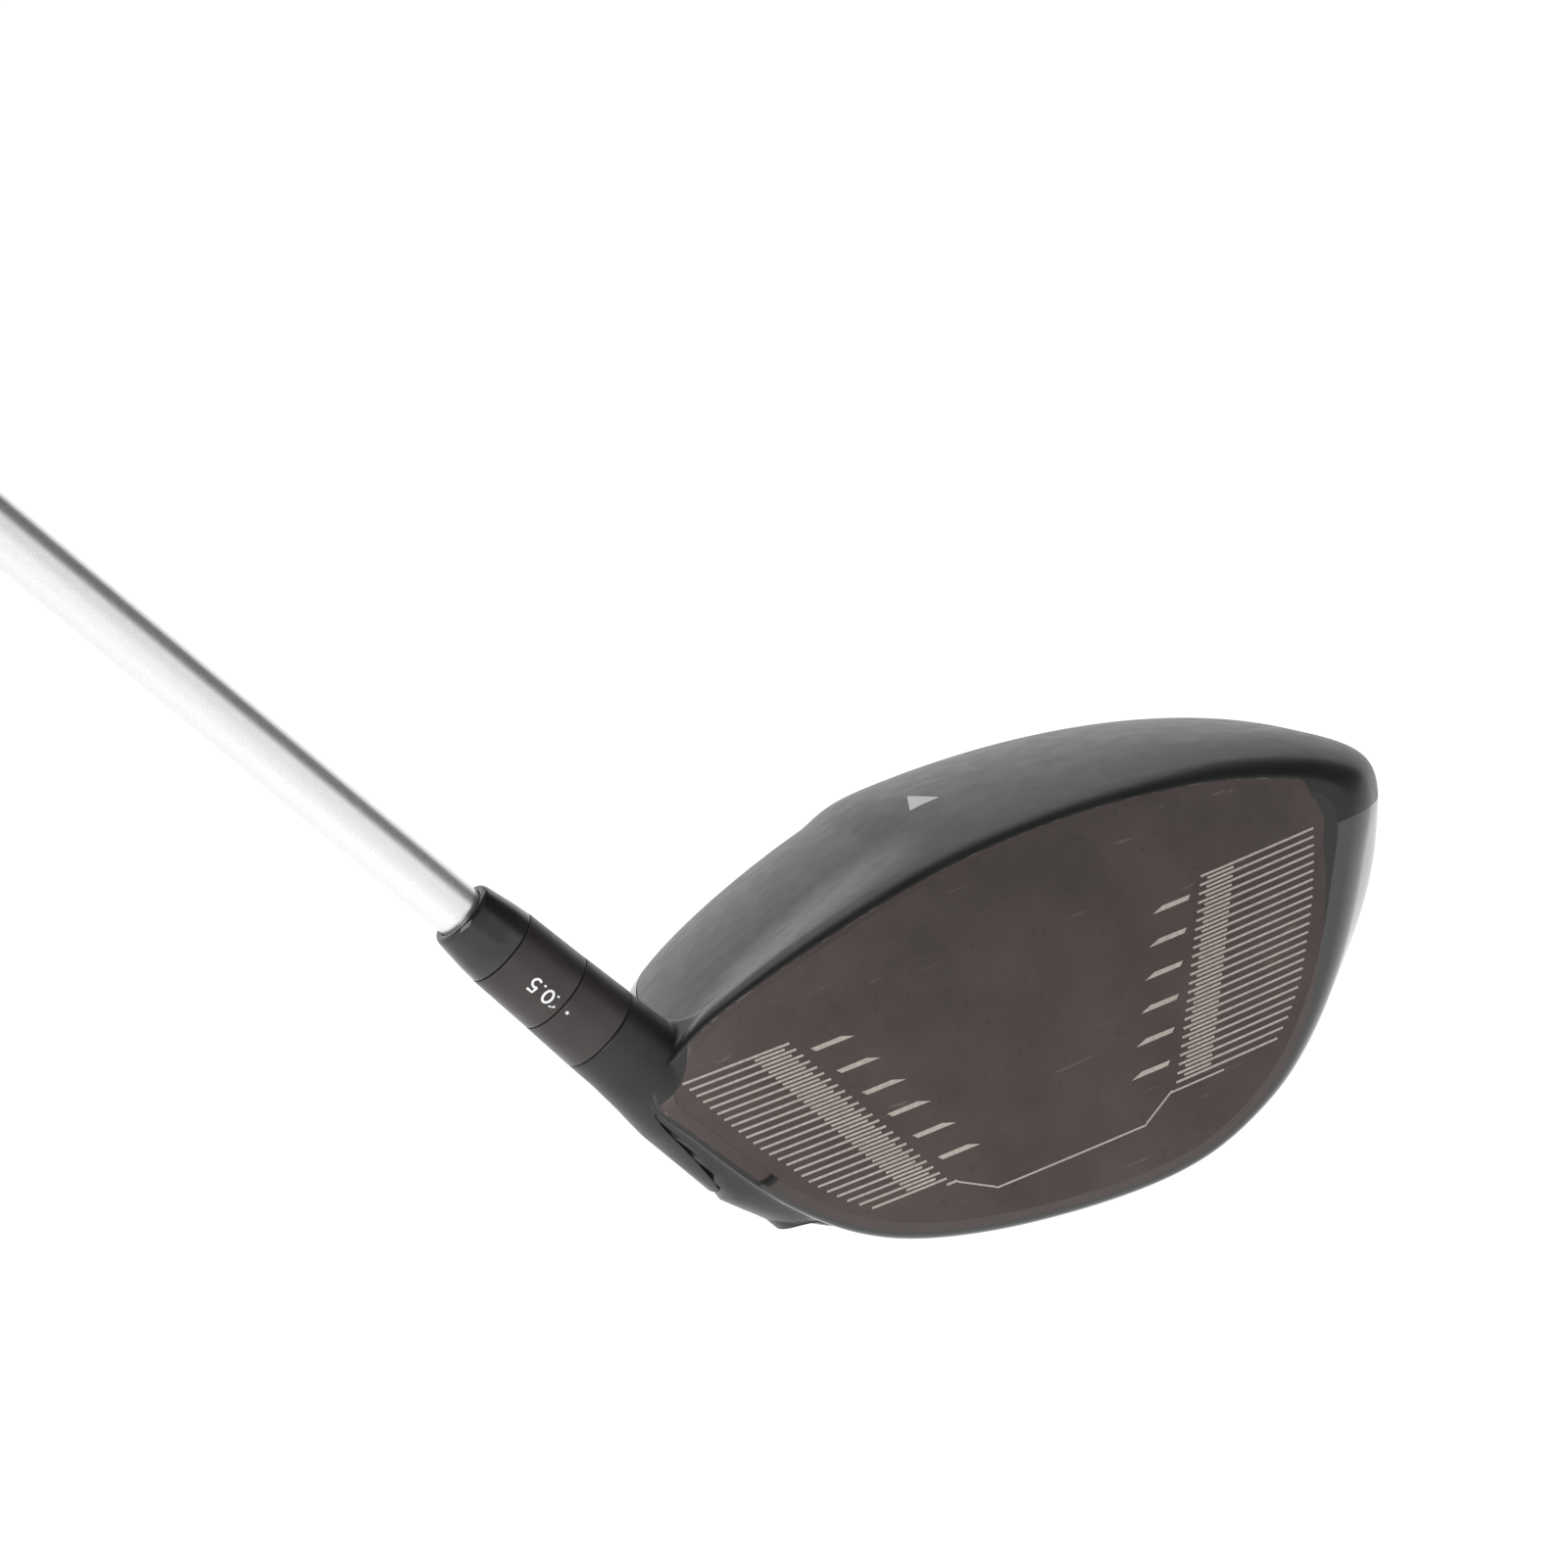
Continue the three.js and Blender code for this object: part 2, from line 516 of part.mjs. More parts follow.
function screwWasher() {
  const top = SEAT_UNDER - GAP;
  const low = top - WASHER.thickness;
  const radius = SCREW.head + WASHER.overhang;
  const bore = SCREW.shank + GAP;
  return sleeveOf([[radius, low], [radius, top]], [[bore, low], [bore, top]]);
}

function screwRetainer() {
  const low = SEAT_AT + GAP;
  const high = low + RETAINER.height;
  const bore = SCREW.shank + GAP;
  return sleeveOf([[RETAINER.radius, low], [RETAINER.radius, high]], [[bore, low], [bore, high]]);
}

// ---- turned pieces on the weight axis ----------------------------------------------------------
const WEIGHT_LOW = -WEIGHT.height - WEIGHT.clearBelow;
const SCREW_SEAT = -WEIGHT.sunk - WEIGHT_SCREW.headHeight; // shoulder inside the weight

function rearWeight() {
  const r = WEIGHT.radius - GAP;
  const counterbore = WEIGHT_SCREW.head + GAP;
  return sleeveOf([[r, WEIGHT_LOW], [r, -WEIGHT.sunk - WEIGHT.chamfer], [r - WEIGHT.chamfer, -WEIGHT.sunk]],
    [[WEIGHT_SCREW.bore, WEIGHT_LOW], [WEIGHT_SCREW.bore, SCREW_SEAT], [counterbore, SCREW_SEAT],
      [counterbore, -WEIGHT.sunk]]);
}

function weightScrew() {
  const { head, shank, hex, socketDepth } = WEIGHT_SCREW;
  const seat = SCREW_SEAT + GAP;
  const top = -WEIGHT.sunk - GAP;
  const blank = solidOf(turned([[0, WEIGHT_LOW], [shank, WEIGHT_LOW], [shank, seat], [head, seat],
    [head, top], [0, top]], SLIM_SIDES));
  return geometryOf(blank.subtract(solidOf(rod(hex, top - socketDepth, top + 1, HEX_SIDES))));
}

// ---- assembly ----------------------------------------------------------------------------------
const finish = (color, roughness, metalness) => new THREE.MeshStandardMaterial({ color, roughness, metalness });
const piece = (name, geometry, material) => {
  const mesh = new THREE.Mesh(geometry, material);
  mesh.name = name;
  return mesh;
};

const headGroup = new THREE.Group();
headGroup.add(
  piece('face_plate', facePlate(), finish(0x2e2624, 0.45, 0.7)),
  piece('front_body', geometryOf(frontBody()), finish(0x1b1a1a, 0.5, 0.3)),
  piece('crown_shell', geometryOf(crownShell()), finish(0x161616, 0.55, 0.0)),
  piece('sole_shell', geometryOf(soleShell()), finish(0x1c1b1c, 0.12, 0.4)),
  piece('seam_bond', geometryOf(seamBond()), finish(0x55524a, 0.7, 0.0)),
  piece('hosel_tube', geometryOf(hoselTube()), finish(0x8c8c8a, 0.4, 0.9)),
  piece('weight_port', geometryOf(weightPort()), finish(0x777777, 0.4, 0.9)),
);

const hoselGroup = new THREE.Group();
hoselGroup.applyMatrix4(hoselMatrix);
hoselGroup.add(
  piece('loft_ring', loftRing(), finish(0x262322, 0.4, 0.5)),
  piece('loft_sleeve', loftSleeve(), finish(0x242120, 0.4, 0.5)),
  piece('ferrule', ferrule(), finish(0x141414, 0.12, 0.0)),
  piece('shaft', shaft(), finish(0xb8b8b8, 0.3, 0.6)),
  piece('tip_plug', tipPlug(), finish(0xb09060, 0.8, 0.0)),
  piece('grip_tape', gripTape(), finish(0xd8cfa8, 0.8, 0.0)),
  piece('grip', grip(), finish(0x181818, 0.8, 0.0)),
  piece('grip_cap', gripCap(), finish(0x202020, 0.6, 0.0)),
  piece('hosel_screw', hoselScrew(), finish(0x9a9a9a, 0.3, 0.9)),
  piece('screw_washer', screwWasher(), finish(0xb5b5b5, 0.3, 0.9)),
  piece('screw_retainer', screwRetainer(), finish(0x202020, 0.8, 0.0)),
);

const weightGroup = new THREE.Group();
weightGroup.applyMatrix4(weightMatrix);
weightGroup.add(
  piece('rear_weight', rearWeight(), finish(0x8a8a8a, 0.35, 0.9)),
  piece('weight_screw', weightScrew(), finish(0x5a5a5a, 0.35, 0.9)),
);

const driver = new THREE.Group();
driver.position.set(-REST.x, -REST.y, GROUND);
driver.add(headGroup, hoselGroup, weightGroup);

export default driver;
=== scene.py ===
"""Left-handed golf driver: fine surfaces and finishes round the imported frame.

Shapes are worked out in millimetres from the face centre and stored in metres in the row frame.
"""
import math

import bmesh
import bpy
import numpy as np
from mathutils import Matrix


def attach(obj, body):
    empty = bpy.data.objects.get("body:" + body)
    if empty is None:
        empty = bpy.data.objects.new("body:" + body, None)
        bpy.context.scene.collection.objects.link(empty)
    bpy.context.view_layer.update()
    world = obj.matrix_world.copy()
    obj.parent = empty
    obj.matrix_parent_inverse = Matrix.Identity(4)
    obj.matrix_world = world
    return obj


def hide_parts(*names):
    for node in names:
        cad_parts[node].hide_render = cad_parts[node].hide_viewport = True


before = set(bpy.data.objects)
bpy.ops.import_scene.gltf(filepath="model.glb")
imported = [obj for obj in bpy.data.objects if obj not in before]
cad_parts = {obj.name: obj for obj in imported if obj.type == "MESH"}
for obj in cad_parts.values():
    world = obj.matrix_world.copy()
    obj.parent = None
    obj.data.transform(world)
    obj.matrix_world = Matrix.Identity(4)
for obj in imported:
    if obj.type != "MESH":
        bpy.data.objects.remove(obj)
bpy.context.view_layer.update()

# ---- sizes of the club, in millimetres ---------------------------------------------------------
MM = 0.001
FACE_CENTRE = np.array([-5.5, -33.5, 33.75])  # in the row frame
LOFT = math.radians(10.5)
LIE = math.radians(60)
BULGE = 310
ROLL = 291
HEAD_DEPTH = 106
WIDEST_Y = 22
TOE_REACH = 79
HEEL_REACH = 52
TOE_ROUND = 2.55
HEEL_ROUND = 3.0
EDGE_ROUND = 4
TOE_FLARE = 3.1
WALL_FLARE = 1.5
CROWN_PEAK = (31.2, 24)  # height, depth
SOLE_LOW = (-34, 38)
BELT = (8.5, 5, 2.5)
RIDGE = (10, 9)
BLEND_DEPTH = 32
GROUND = -33.75
FRONT_DEPTH = 26  # where the crown and sole shells take over from the front casting
PLATE_EDGE = 0.957  # outline of the face plate, as a share of the face outline
FACE_OUTLINE = np.array([
    (66, 12), (61, 18), (47.5, 23.5), (33, 26.7), (16, 28.5), (-2, 28.2), (-19, 25.8), (-37, 21.7),
    (-50.5, 17), (-59, 10), (-55, 2), (-45, -12), (-33, -21.5), (-17, -26.8), (4, -29.8),
    (20, -29.8), (32.5, -26.2), (42, -20.5), (51.5, -11), (60, 1)], float)

HOSEL_FOOT = np.array([-49.8, 15.5, 0.0])  # the hosel axis at the height of the face centre
HOSEL_AXIS = np.array([-math.cos(LIE), 0, math.sin(LIE)])
HOSEL_TOP = 25.2
RING_TOP = 34.6
SLEEVE_TOP = 46.2
FERRULE_TOP = 55
SLEEVE_END = -2
SEAT_AT = -8
BORE = 5.5
SHAFT_TIP = 8
TIP_LENGTH = 100
BUTT_END = 1113
GRIP_MOUTH = 843
SHAFT_TIP_RADIUS = 4.3
SHAFT_BUTT_RADIUS = 7.6
CUP_RADIUS = 9.0  # the port that holds the rear weight
WEIGHT_DEPTH = 82
FINE = 128  # sides of a small turned piece
TURNED_SHARP = 28  # angle in degrees over which an edge of a turned piece stays sharp


# ---- outer surface of the head -----------------------------------------------------------------
def ease(t):
    """Smooth step: 3t^2 - 2t^3, with t held between 0 and 1."""
    t = np.clip(t, 0, 1)
    return t * t * (3 - 2 * t)


def face_depth(x, z):
    """Depth of the face behind Y = 0: its loft slope plus the sag of the bulge and roll circles."""
    h = z / math.cos(LOFT)
    return h * math.sin(LOFT) + (x**2 / (2 * BULGE) + h**2 / (2 * ROLL)) * math.cos(LOFT)


def outline_table(steps=60):
    """The closed Catmull-Rom curve through FACE_OUTLINE, as angle and radius about the ridge."""
    p0, p1, p2, p3 = (np.roll(FACE_OUTLINE, shift, axis=0)[:, None] for shift in (1, 0, -1, -2))
    t = np.linspace(0, 1, steps, endpoint=False)[None, :, None]
    a, b = (p2 - p0) / 2, (p3 - p1) / 2
    curve = p1 + a * t + (3 * (p2 - p1) - 2 * a - b) * t**2 + (2 * (p1 - p2) + a + b) * t**3
    offset = curve.reshape(-1, 2) - (RIDGE[0], BELT[0])
    angle = np.arctan2(offset[:, 1], offset[:, 0])
    order = np.argsort(angle)
    return angle[order], np.hypot(*offset.T)[order]


OUTLINE = outline_table()
FACE_TOE, FACE_TOP = ((OUTLINE[1] * turn(OUTLINE[0])).max() for turn in (np.cos, np.sin))
FACE_HEEL, FACE_BOTTOM = (-(OUTLINE[1] * turn(OUTLINE[0])).min() for turn in (np.cos, np.sin))


def outline_radius(angle):
    """Radius of the face outline about (ridge, belt) at an angle, read round the closed curve."""
    return np.interp(angle, *OUTLINE, period=2 * math.pi)


def section(y):
    """The driving curves of the section at depth y: toe, heel, ridge, belt, crown and sole."""
    behind = np.clip((y - WIDEST_Y) / (HEAD_DEPTH - WIDEST_Y), 0, 1)
    before = np.clip((WIDEST_Y - y) / WIDEST_Y, 0, 1)
    edge = np.clip(1 - y / EDGE_ROUND, 0, 1)
    inset = 1 - np.sqrt(1 - edge**2)
    share = y / HEAD_DEPTH
    toe_front = RIDGE[0] + FACE_TOE + TOE_FLARE
    heel_front = FACE_HEEL - RIDGE[0] + WALL_FLARE
    toe = TOE_REACH * (1 - behind**TOE_ROUND) ** (1 / TOE_ROUND)
    toe = toe - (TOE_REACH - toe_front) * before**2 - inset * TOE_FLARE
    heel = HEEL_REACH * (1 - behind**HEEL_ROUND) ** (1 / HEEL_ROUND)
    heel = heel - (HEEL_REACH - heel_front) * before**1.3 - inset * WALL_FLARE
    ridge = (RIDGE[0] * (1 - share) + RIDGE[1] * share) * (1 - behind**30)
    belt = BELT[0] * (1 - share) ** 2 + 2 * share * (1 - share) * BELT[1] + BELT[2] * share**2

    def height(front, far):
        rise = np.clip(y / far[1], 0, 1)
        fall = np.clip((y - far[1]) / (HEAD_DEPTH - far[1]), 0, 1)
        full = front + (far[0] - front) * (1 - (1 - rise) ** 2)
        return belt + (full - belt) * np.sqrt(1 - fall**2.2)

    crown = height(BELT[0] + FACE_TOP + WALL_FLARE, CROWN_PEAK) - inset * WALL_FLARE
    sole = height(BELT[0] - FACE_BOTTOM - WALL_FLARE, SOLE_LOW) + inset * WALL_FLARE
    return toe, heel, ridge, belt, crown, sole


def fullness(polar):
    """Exponent of the rounded section at a polar angle; the heel's fades in past the ridge."""
    heelward = ease(-np.cos(polar) / 0.3)
    crown = 2.1 + (1.35 - 2.1) * heelward
    sole = 1.95 + (3.0 - 1.95) * ease(0.5 - np.cos(polar) / 0.6)
    return np.where(np.sin(polar) >= 0, crown, sole)


def unit_reach(polar, y, face_reach):
    """Radius of the unit section: the face outline's near the face, a superellipse's behind it."""
    n = fullness(polar)
    reach = (np.abs(np.cos(polar)) ** n + np.abs(np.sin(polar)) ** n) ** (-1 / n)
    mix = ease(y / BLEND_DEPTH)
    return (1 - mix) * face_reach + mix * reach


def unit_outline(angle):
    """The face outline scaled to unit reach each way, as a polar angle and a radius."""
    radius = outline_radius(angle)
    dx, dz = radius * np.cos(angle), radius * np.sin(angle)
    fx = dx / np.where(dx >= 0, FACE_TOE, FACE_HEEL)
    fz = dz / np.where(dz >= 0, FACE_TOP, FACE_BOTTOM)
    return np.arctan2(fz, fx), np.hypot(fx, fz)


UNIT_ANGLES = np.linspace(-math.pi, math.pi, 2401)[:-1]
UNIT_OUTLINE = unit_outline(UNIT_ANGLES)


def head_points(angle, y):
    """Outer surface: a section at depth y, one point per angle, pushed back by the face's sag."""
    polar, face_reach = unit_outline(angle)
    reach = unit_reach(polar, y, face_reach)
    u, v = reach * np.cos(polar), reach * np.sin(polar)
    toe, heel, ridge, belt, crown, sole = section(y)
    x = ridge + np.where(u >= 0, toe - ridge, heel + ridge) * u
    z = belt + np.where(v >= 0, crown - belt, belt - sole) * v
    return np.stack([x, y + face_depth(x, z) * (1 - y / HEAD_DEPTH) ** 2, z], -1)


def head_field(points):
    """About the distance outside the head: how far a point lies beyond its own section's curve."""
    x, deep, z = points[..., 0], points[..., 1], points[..., 2]
    sag = face_depth(x, z)
    y = deep - sag
    for _ in range(5):
        rest = 1 - y / HEAD_DEPTH
        y = y - (y + sag * rest**2 - deep) / (1 - 2 * sag * rest / HEAD_DEPTH)
    inside_y = np.clip(y, 0.05, HEAD_DEPTH - 0.05)
    toe, heel, ridge, belt, crown, sole = section(inside_y)
    u = (x - ridge) / np.where(x >= ridge, toe - ridge, heel + ridge)
    v = (z - belt) / np.where(z >= belt, crown - belt, belt - sole)
    polar = np.arctan2(v, u)
    face_reach = np.interp(polar, *UNIT_OUTLINE, period=2 * math.pi)
    reach = unit_reach(polar, inside_y, face_reach)
    q = np.hypot(u, v) + 1e-6
    aside = (q - reach) / q * np.hypot(x - ridge, z - belt)
    return np.maximum(aside, -y)


# ---- frames along the hosel and the weight -----------------------------------------------------
def axis_frame(origin, axis, side):
    """Origin, axis and the two directions square to it; the first leans towards side."""
    first = side - axis * (side @ axis)
    first = first / np.linalg.norm(first)
    return origin, axis, first, np.cross(axis, first)


def around(axes, turn, radius, along):
    """Points at a turn and radius round an axis, some way along it."""
    origin, axis, first, second = axes
    ring = np.cos(turn)[..., None] * first + np.sin(turn)[..., None] * second
    return origin + np.asarray(radius)[..., None] * ring + np.asarray(along)[..., None] * axis


HOSEL = axis_frame(HOSEL_FOOT, HOSEL_AXIS, np.array([1.0, 0, 0]))
NECK_S = np.array([-60.0, -20, -9, 8, 14, 20, 25.2])
NECK_R = np.array([-60.0, 4.0, 8.2, 8.6, 8.05, 7.6, 7.5])  # below 0 it has run out
NECK_BLEND = 9.0  # how widely the neck flows into the head


def union_field(points):
    """Smooth union of the head and the neck: the least of both, rounded where they come close."""
    origin, axis = HOSEL[0], HOSEL[1]
    along = (points - origin) @ axis
    out = np.linalg.norm(points - origin - along[..., None] * axis, axis=-1)
    neck = out - np.interp(along, NECK_S, NECK_R)
    head = head_field(points)
    behind_face = points[..., 1] - face_depth(points[..., 0], points[..., 2])
    blend = 0.4 + NECK_BLEND * ease((behind_face - 0.8) / 9)
    near = np.clip(blend - np.abs(neck - head), 0, None)
    return np.minimum(neck, head) - near**2 / (4 * blend)


def first_surface(field, start, direction, near, far, steps=34):
    """Where the field turns positive along a ray, found by halving the stretch from near to far."""
    low = np.full(direction.shape[:-1], float(near))
    high = np.full(direction.shape[:-1], float(far))
    for _ in range(steps):
        middle = (low + high) / 2
        outside = field(start + middle[..., None] * direction) > 0
        high = np.where(outside, middle, high)
        low = np.where(outside, low, middle)
    return start + low[..., None] * direction


# ---- meshes ------------------------------------------------------------------------------------
def grid_faces(rows, columns, closed=True, first=0):
    """The quads of a grid of points stored by rows; closed joins the last column to the first."""
    across = columns if closed else columns - 1
    j, k = np.meshgrid(np.arange(rows - 1), np.arange(across), indexing="ij")
    a, b = j * columns + k, j * columns + (k + 1) % columns
    return first + np.stack([a, b, b + columns, a + columns], -1).reshape(-1, 4)


def build(name, points, faces, finish, values=None, sharp=35):
    """A mesh object from points in millimetres from the face centre, with smooth shading."""
    mesh = bpy.data.meshes.new(name)
    mesh.from_pydata((np.asarray(points) + FACE_CENTRE) * MM, [], [list(f) for f in faces])
    for key, value in (values or {}).items():
        layer = mesh.attributes.new(key, "FLOAT", "POINT")
        layer.data.foreach_set("value", np.asarray(value, np.float32))
    mesh.polygons.foreach_set("use_smooth", np.ones(len(mesh.polygons), bool))
    mesh.set_sharp_from_angle(angle=math.radians(sharp))
    mesh.materials.append(finish)
    mesh.update()
    piece = bpy.data.objects.new(name, mesh)
    bpy.context.scene.collection.objects.link(piece)
    return piece


def thicken(piece, wall, sharp=35):
    """Gives a sheet a wall inwards, closes its rim, and bakes that into the mesh."""
    solid = piece.modifiers.new("wall", "SOLIDIFY")
    solid.thickness = wall * MM
    solid.offset = -1
    graph = bpy.context.evaluated_depsgraph_get()
    made = bpy.data.meshes.new_from_object(piece.evaluated_get(graph))
    piece.modifiers.clear()
    piece.data = made
    made.set_sharp_from_angle(angle=math.radians(sharp))
    return piece


def fit_on(piece, body, slot, *nodes):
    """Rides a finished piece on its body in place of the CAD nodes it stands for."""
    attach(piece, body)
    if nodes:
        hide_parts(*nodes)
    return piece


def softened(corners, radius=0.35, steps=4):
    """A profile with each inner corner cut back and rounded by a quadratic curve."""
    corners = np.asarray(corners, float)
    made = [corners[0]]
    t = np.linspace(0, 1, steps)[:, None]
    for before, corner, after in zip(corners, corners[1:], corners[2:]):
        into, out = before - corner, after - corner
        cut = min(radius, 0.45 * np.linalg.norm(into), 0.45 * np.linalg.norm(out))
        start = corner + into / np.linalg.norm(into) * cut
        end = corner + out / np.linalg.norm(out) * cut
        made.extend((1 - t) ** 2 * start + 2 * t * (1 - t) * corner + t**2 * end)
    made.append(corners[-1])
    return np.array(made)


def turned(name, axes, corners, finish, sides=FINE, soft=0.35, hexagon=()):
    """A closed turned piece: a profile of (radius, along) carried round an axis.

    A profile that starts and ends on the axis closes at its poles, any other joins end to start.
    Along the stretches named in hexagon the circle becomes a six-sided socket.
    """
    profile = softened(corners, soft)
    solid = profile[0, 0] == 0
    if solid:
        profile[[0, -1], 0] = 1e-4
    else:
        profile = np.vstack([profile, profile[:1]])
    turn = np.linspace(0, 2 * math.pi, sides, endpoint=False)
    radius = np.repeat(profile[:, :1], sides, axis=1)
    for low, high, reach in hexagon:
        flat = (profile[:, 1] > low) & (profile[:, 1] < high) & (profile[:, 0] <= reach)
        facet = np.cos(math.pi / 6) / np.cos((turn % (math.pi / 3)) - math.pi / 6)
        radius[flat] *= facet
    points = around(axes, turn[None, :], radius, profile[:, 1:] + 0 * turn)
    rows = len(profile)
    faces = grid_faces(rows, sides)
    points = points.reshape(-1, 3)
    if not solid:
        points = points[:-sides]
        faces = faces % len(points)
    places = {"turn": np.tile(turn, rows)[:len(points)],
              "along": np.repeat(profile[:, 1], sides)[:len(points)]}
    piece = build(name, points, faces, finish, places, sharp=TURNED_SHARP)
    if solid:
        close_poles(piece, sides)
    return piece


def close_poles(piece, sides):
    """Merges the first and the last ring of a turned piece into one point each."""
    work = bmesh.new()
    work.from_mesh(piece.data)
    work.verts.ensure_lookup_table()
    for ring in (work.verts[:sides], work.verts[-sides:]):
        middle = sum((v.co for v in ring), ring[0].co * 0) / sides
        bmesh.ops.pointmerge(work, verts=ring, merge_co=middle)
        work.verts.ensure_lookup_table()
    work.to_mesh(piece.data)
    work.free()
    piece.data.set_sharp_from_angle(angle=math.radians(TURNED_SHARP))


# ---- finishes ----------------------------------------------------------------------------------
class Finish:
    """One Principled material, with short calls that add nodes to its tree."""

    def __init__(self, name, **values):
        self.material = bpy.data.materials.new(name)
        self.material.use_nodes = True
        self.tree = self.material.node_tree
        self.shader = self.tree.nodes["Principled BSDF"]
        self.place = self.tree.nodes.new("ShaderNodeTexCoord").outputs["Object"]
        for socket, value in values.items():
            self.shader.inputs[socket.replace("_", " ")].default_value = value

    def set(self, node, socket, value):
        if isinstance(value, bpy.types.NodeSocket):
            self.tree.links.new(value, node.inputs[socket])
        else:
            node.inputs[socket].default_value = value

    def into(self, socket, value):
        self.tree.links.new(value, self.shader.inputs[socket])

    def noise(self, size, detail=3.0, stretch=None):
        """Noise with features of about that size in millimetres, drawn out by stretch."""
        node = self.tree.nodes.new("ShaderNodeTexNoise")
        node.inputs["Detail"].default_value = detail
        node.inputs["Scale"].default_value = 1 / (size * MM)
        place = self.place
        if stretch is not None:
            mapping = self.tree.nodes.new("ShaderNodeMapping")
            mapping.inputs["Scale"].default_value = stretch
            self.tree.links.new(place, mapping.inputs["Vector"])
            place = mapping.outputs["Vector"]
        self.tree.links.new(place, node.inputs["Vector"])
        return node.outputs["Fac"]

    def attribute(self, key):
        node = self.tree.nodes.new("ShaderNodeAttribute")
        node.attribute_name = key
        return node.outputs["Fac"]

    def math(self, operation, a, b=0.0):
        node = self.tree.nodes.new("ShaderNodeMath")
        node.operation = operation
        self.set(node, 0, a)
        self.set(node, 1, b)
        return node.outputs["Value"]

    def span(self, value, low, high, start=0.0, end=1.0):
        """The value's place between low and high, held to the stretch from start to end."""
        node = self.tree.nodes.new("ShaderNodeMapRange")
        for socket, number in zip(("Value", "From Min", "From Max", "To Min", "To Max"),
                                  (value, low, high, start, end)):
            self.set(node, socket, number)
        return node.outputs["Result"]

    def mix(self, share, first, second):
        node = self.tree.nodes.new("ShaderNodeMix")
        node.data_type = "RGBA"
        self.set(node, "Factor", share)
        for socket, colour in ((node.inputs[6], first), (node.inputs[7], second)):
            if isinstance(colour, bpy.types.NodeSocket):
                self.tree.links.new(colour, socket)
            else:
                socket.default_value = (*colour, 1)
        return node.outputs[2]

    def bump(self, height, depth, strength=1.0):
        """Relief of that depth in millimetres."""
        node = self.tree.nodes.new("ShaderNodeBump")
        node.inputs["Strength"].default_value = strength
        node.inputs["Distance"].default_value = depth * MM
        self.tree.links.new(height, node.inputs["Height"])
        self.into("Normal", node.outputs["Normal"])


MATTE_BLACK = (0.013, 0.0125, 0.0125)
GLOSS_BLACK = (0.011, 0.011, 0.0115)
FACE_BROWN = (0.066, 0.052, 0.048)


def body_paint():
    """Matte black paint above the parting line, gloss black below it, and a hairline between."""
    finish = Finish("body_paint")
    gloss = finish.attribute("gloss")
    face = finish.attribute("face")
    under = finish.span(gloss, -0.06, 0.06)
    on_face = finish.span(face, -0.05, 0.05)
    grain = finish.noise(0.35, 2)
    cloud = finish.noise(9, 4)
    matte = finish.mix(finish.span(cloud, 0.35, 0.7), MATTE_BLACK, (0.019, 0.018, 0.018))
    paint = finish.mix(under, matte, GLOSS_BLACK)
    edge = finish.span(finish.math("ABSOLUTE", face), 0.0, 0.2, 1.0, 0.0)
    top_edge = finish.math("MULTIPLY", edge, finish.span(gloss, -1, -4))
    chips = finish.math("MULTIPLY", top_edge, finish.span(finish.noise(2.2, 3), 0.5, 0.66))
    face_colour = finish.mix(finish.span(cloud, 0.3, 0.75), FACE_BROWN, (0.078, 0.063, 0.058))
    colour = finish.mix(on_face, paint, face_colour)
    seam = finish.span(finish.math("ABSOLUTE", gloss), 0.1, 0.22, 1.0, 0.0)
    colour = finish.mix(seam, colour, (0.004, 0.004, 0.004))
    finish.into("Base Color", finish.mix(chips, colour, (0.22, 0.185, 0.165)))
    rough = finish.span(finish.noise(3.5, 3), 0.3, 0.7, 0.33, 0.39)
    finish.into("Roughness", finish.span(under, 0, 1, rough, 0.13))
    finish.into("Specular IOR Level", finish.span(under, 0, 1, 0.4, 0.95))
    finish.into("Metallic", finish.math("MULTIPLY", on_face, 0.55))
    finish.bump(finish.math("MULTIPLY", grain, finish.span(under, 0, 1, 1.0, 0.08)), 0.02, 0.5)
    return finish.material


def face_metal():
    """Dark brown-grey satin metal, faintly mottled and scuffed, with a gloss strip at the toe."""
    finish = Finish("face_metal")
    strip = finish.span(finish.attribute("strip"), -0.04, 0.04)
    cloud = finish.noise(11, 5)
    fleck = finish.span(finish.noise(1.4, 4), 0.62, 0.74)
    brown = finish.mix(finish.span(cloud, 0.3, 0.72), (0.058, 0.046, 0.043), (0.08, 0.064, 0.059))
    brown = finish.mix(finish.math("MULTIPLY", fleck, 0.4), brown, (0.036, 0.028, 0.027))
    scratch = finish.span(finish.noise(0.8, 2, (0.05, 1, 1)), 0.69, 0.75)
    brown = finish.mix(finish.math("MULTIPLY", scratch, 0.3), brown, (0.2, 0.17, 0.155))
    finish.into("Base Color", finish.mix(strip, brown, (0.016, 0.0145, 0.0145)))
    finish.into("Metallic", finish.span(strip, 0, 1, 0.55, 0.1))
    rough = finish.span(finish.noise(2.5, 4), 0.3, 0.7, 0.36, 0.5)
    finish.into("Roughness", finish.span(strip, 0, 1, rough, 0.2))
    finish.bump(finish.noise(0.22, 3), 0.012, 0.5)
    return finish.material


def mark_paint():
    """Light tan-grey etched marks, a little uneven."""
    finish = Finish("mark_paint", Roughness=0.55)
    finish.into("Base Color", finish.mix(finish.span(finish.noise(0.6, 3), 0.3, 0.75),
                                         (0.46, 0.40, 0.365), (0.33, 0.275, 0.25)))
    finish.bump(finish.noise(0.15, 2), 0.01, 0.4)
    return finish.material


def white_print():
    """White printing, faintly worn."""
    finish = Finish("white_print", Roughness=0.5)
    finish.into("Base Color", finish.mix(finish.span(finish.noise(0.4, 3), 0.62, 0.8),
                                         (0.8, 0.8, 0.79), (0.5, 0.49, 0.48)))
    return finish.material


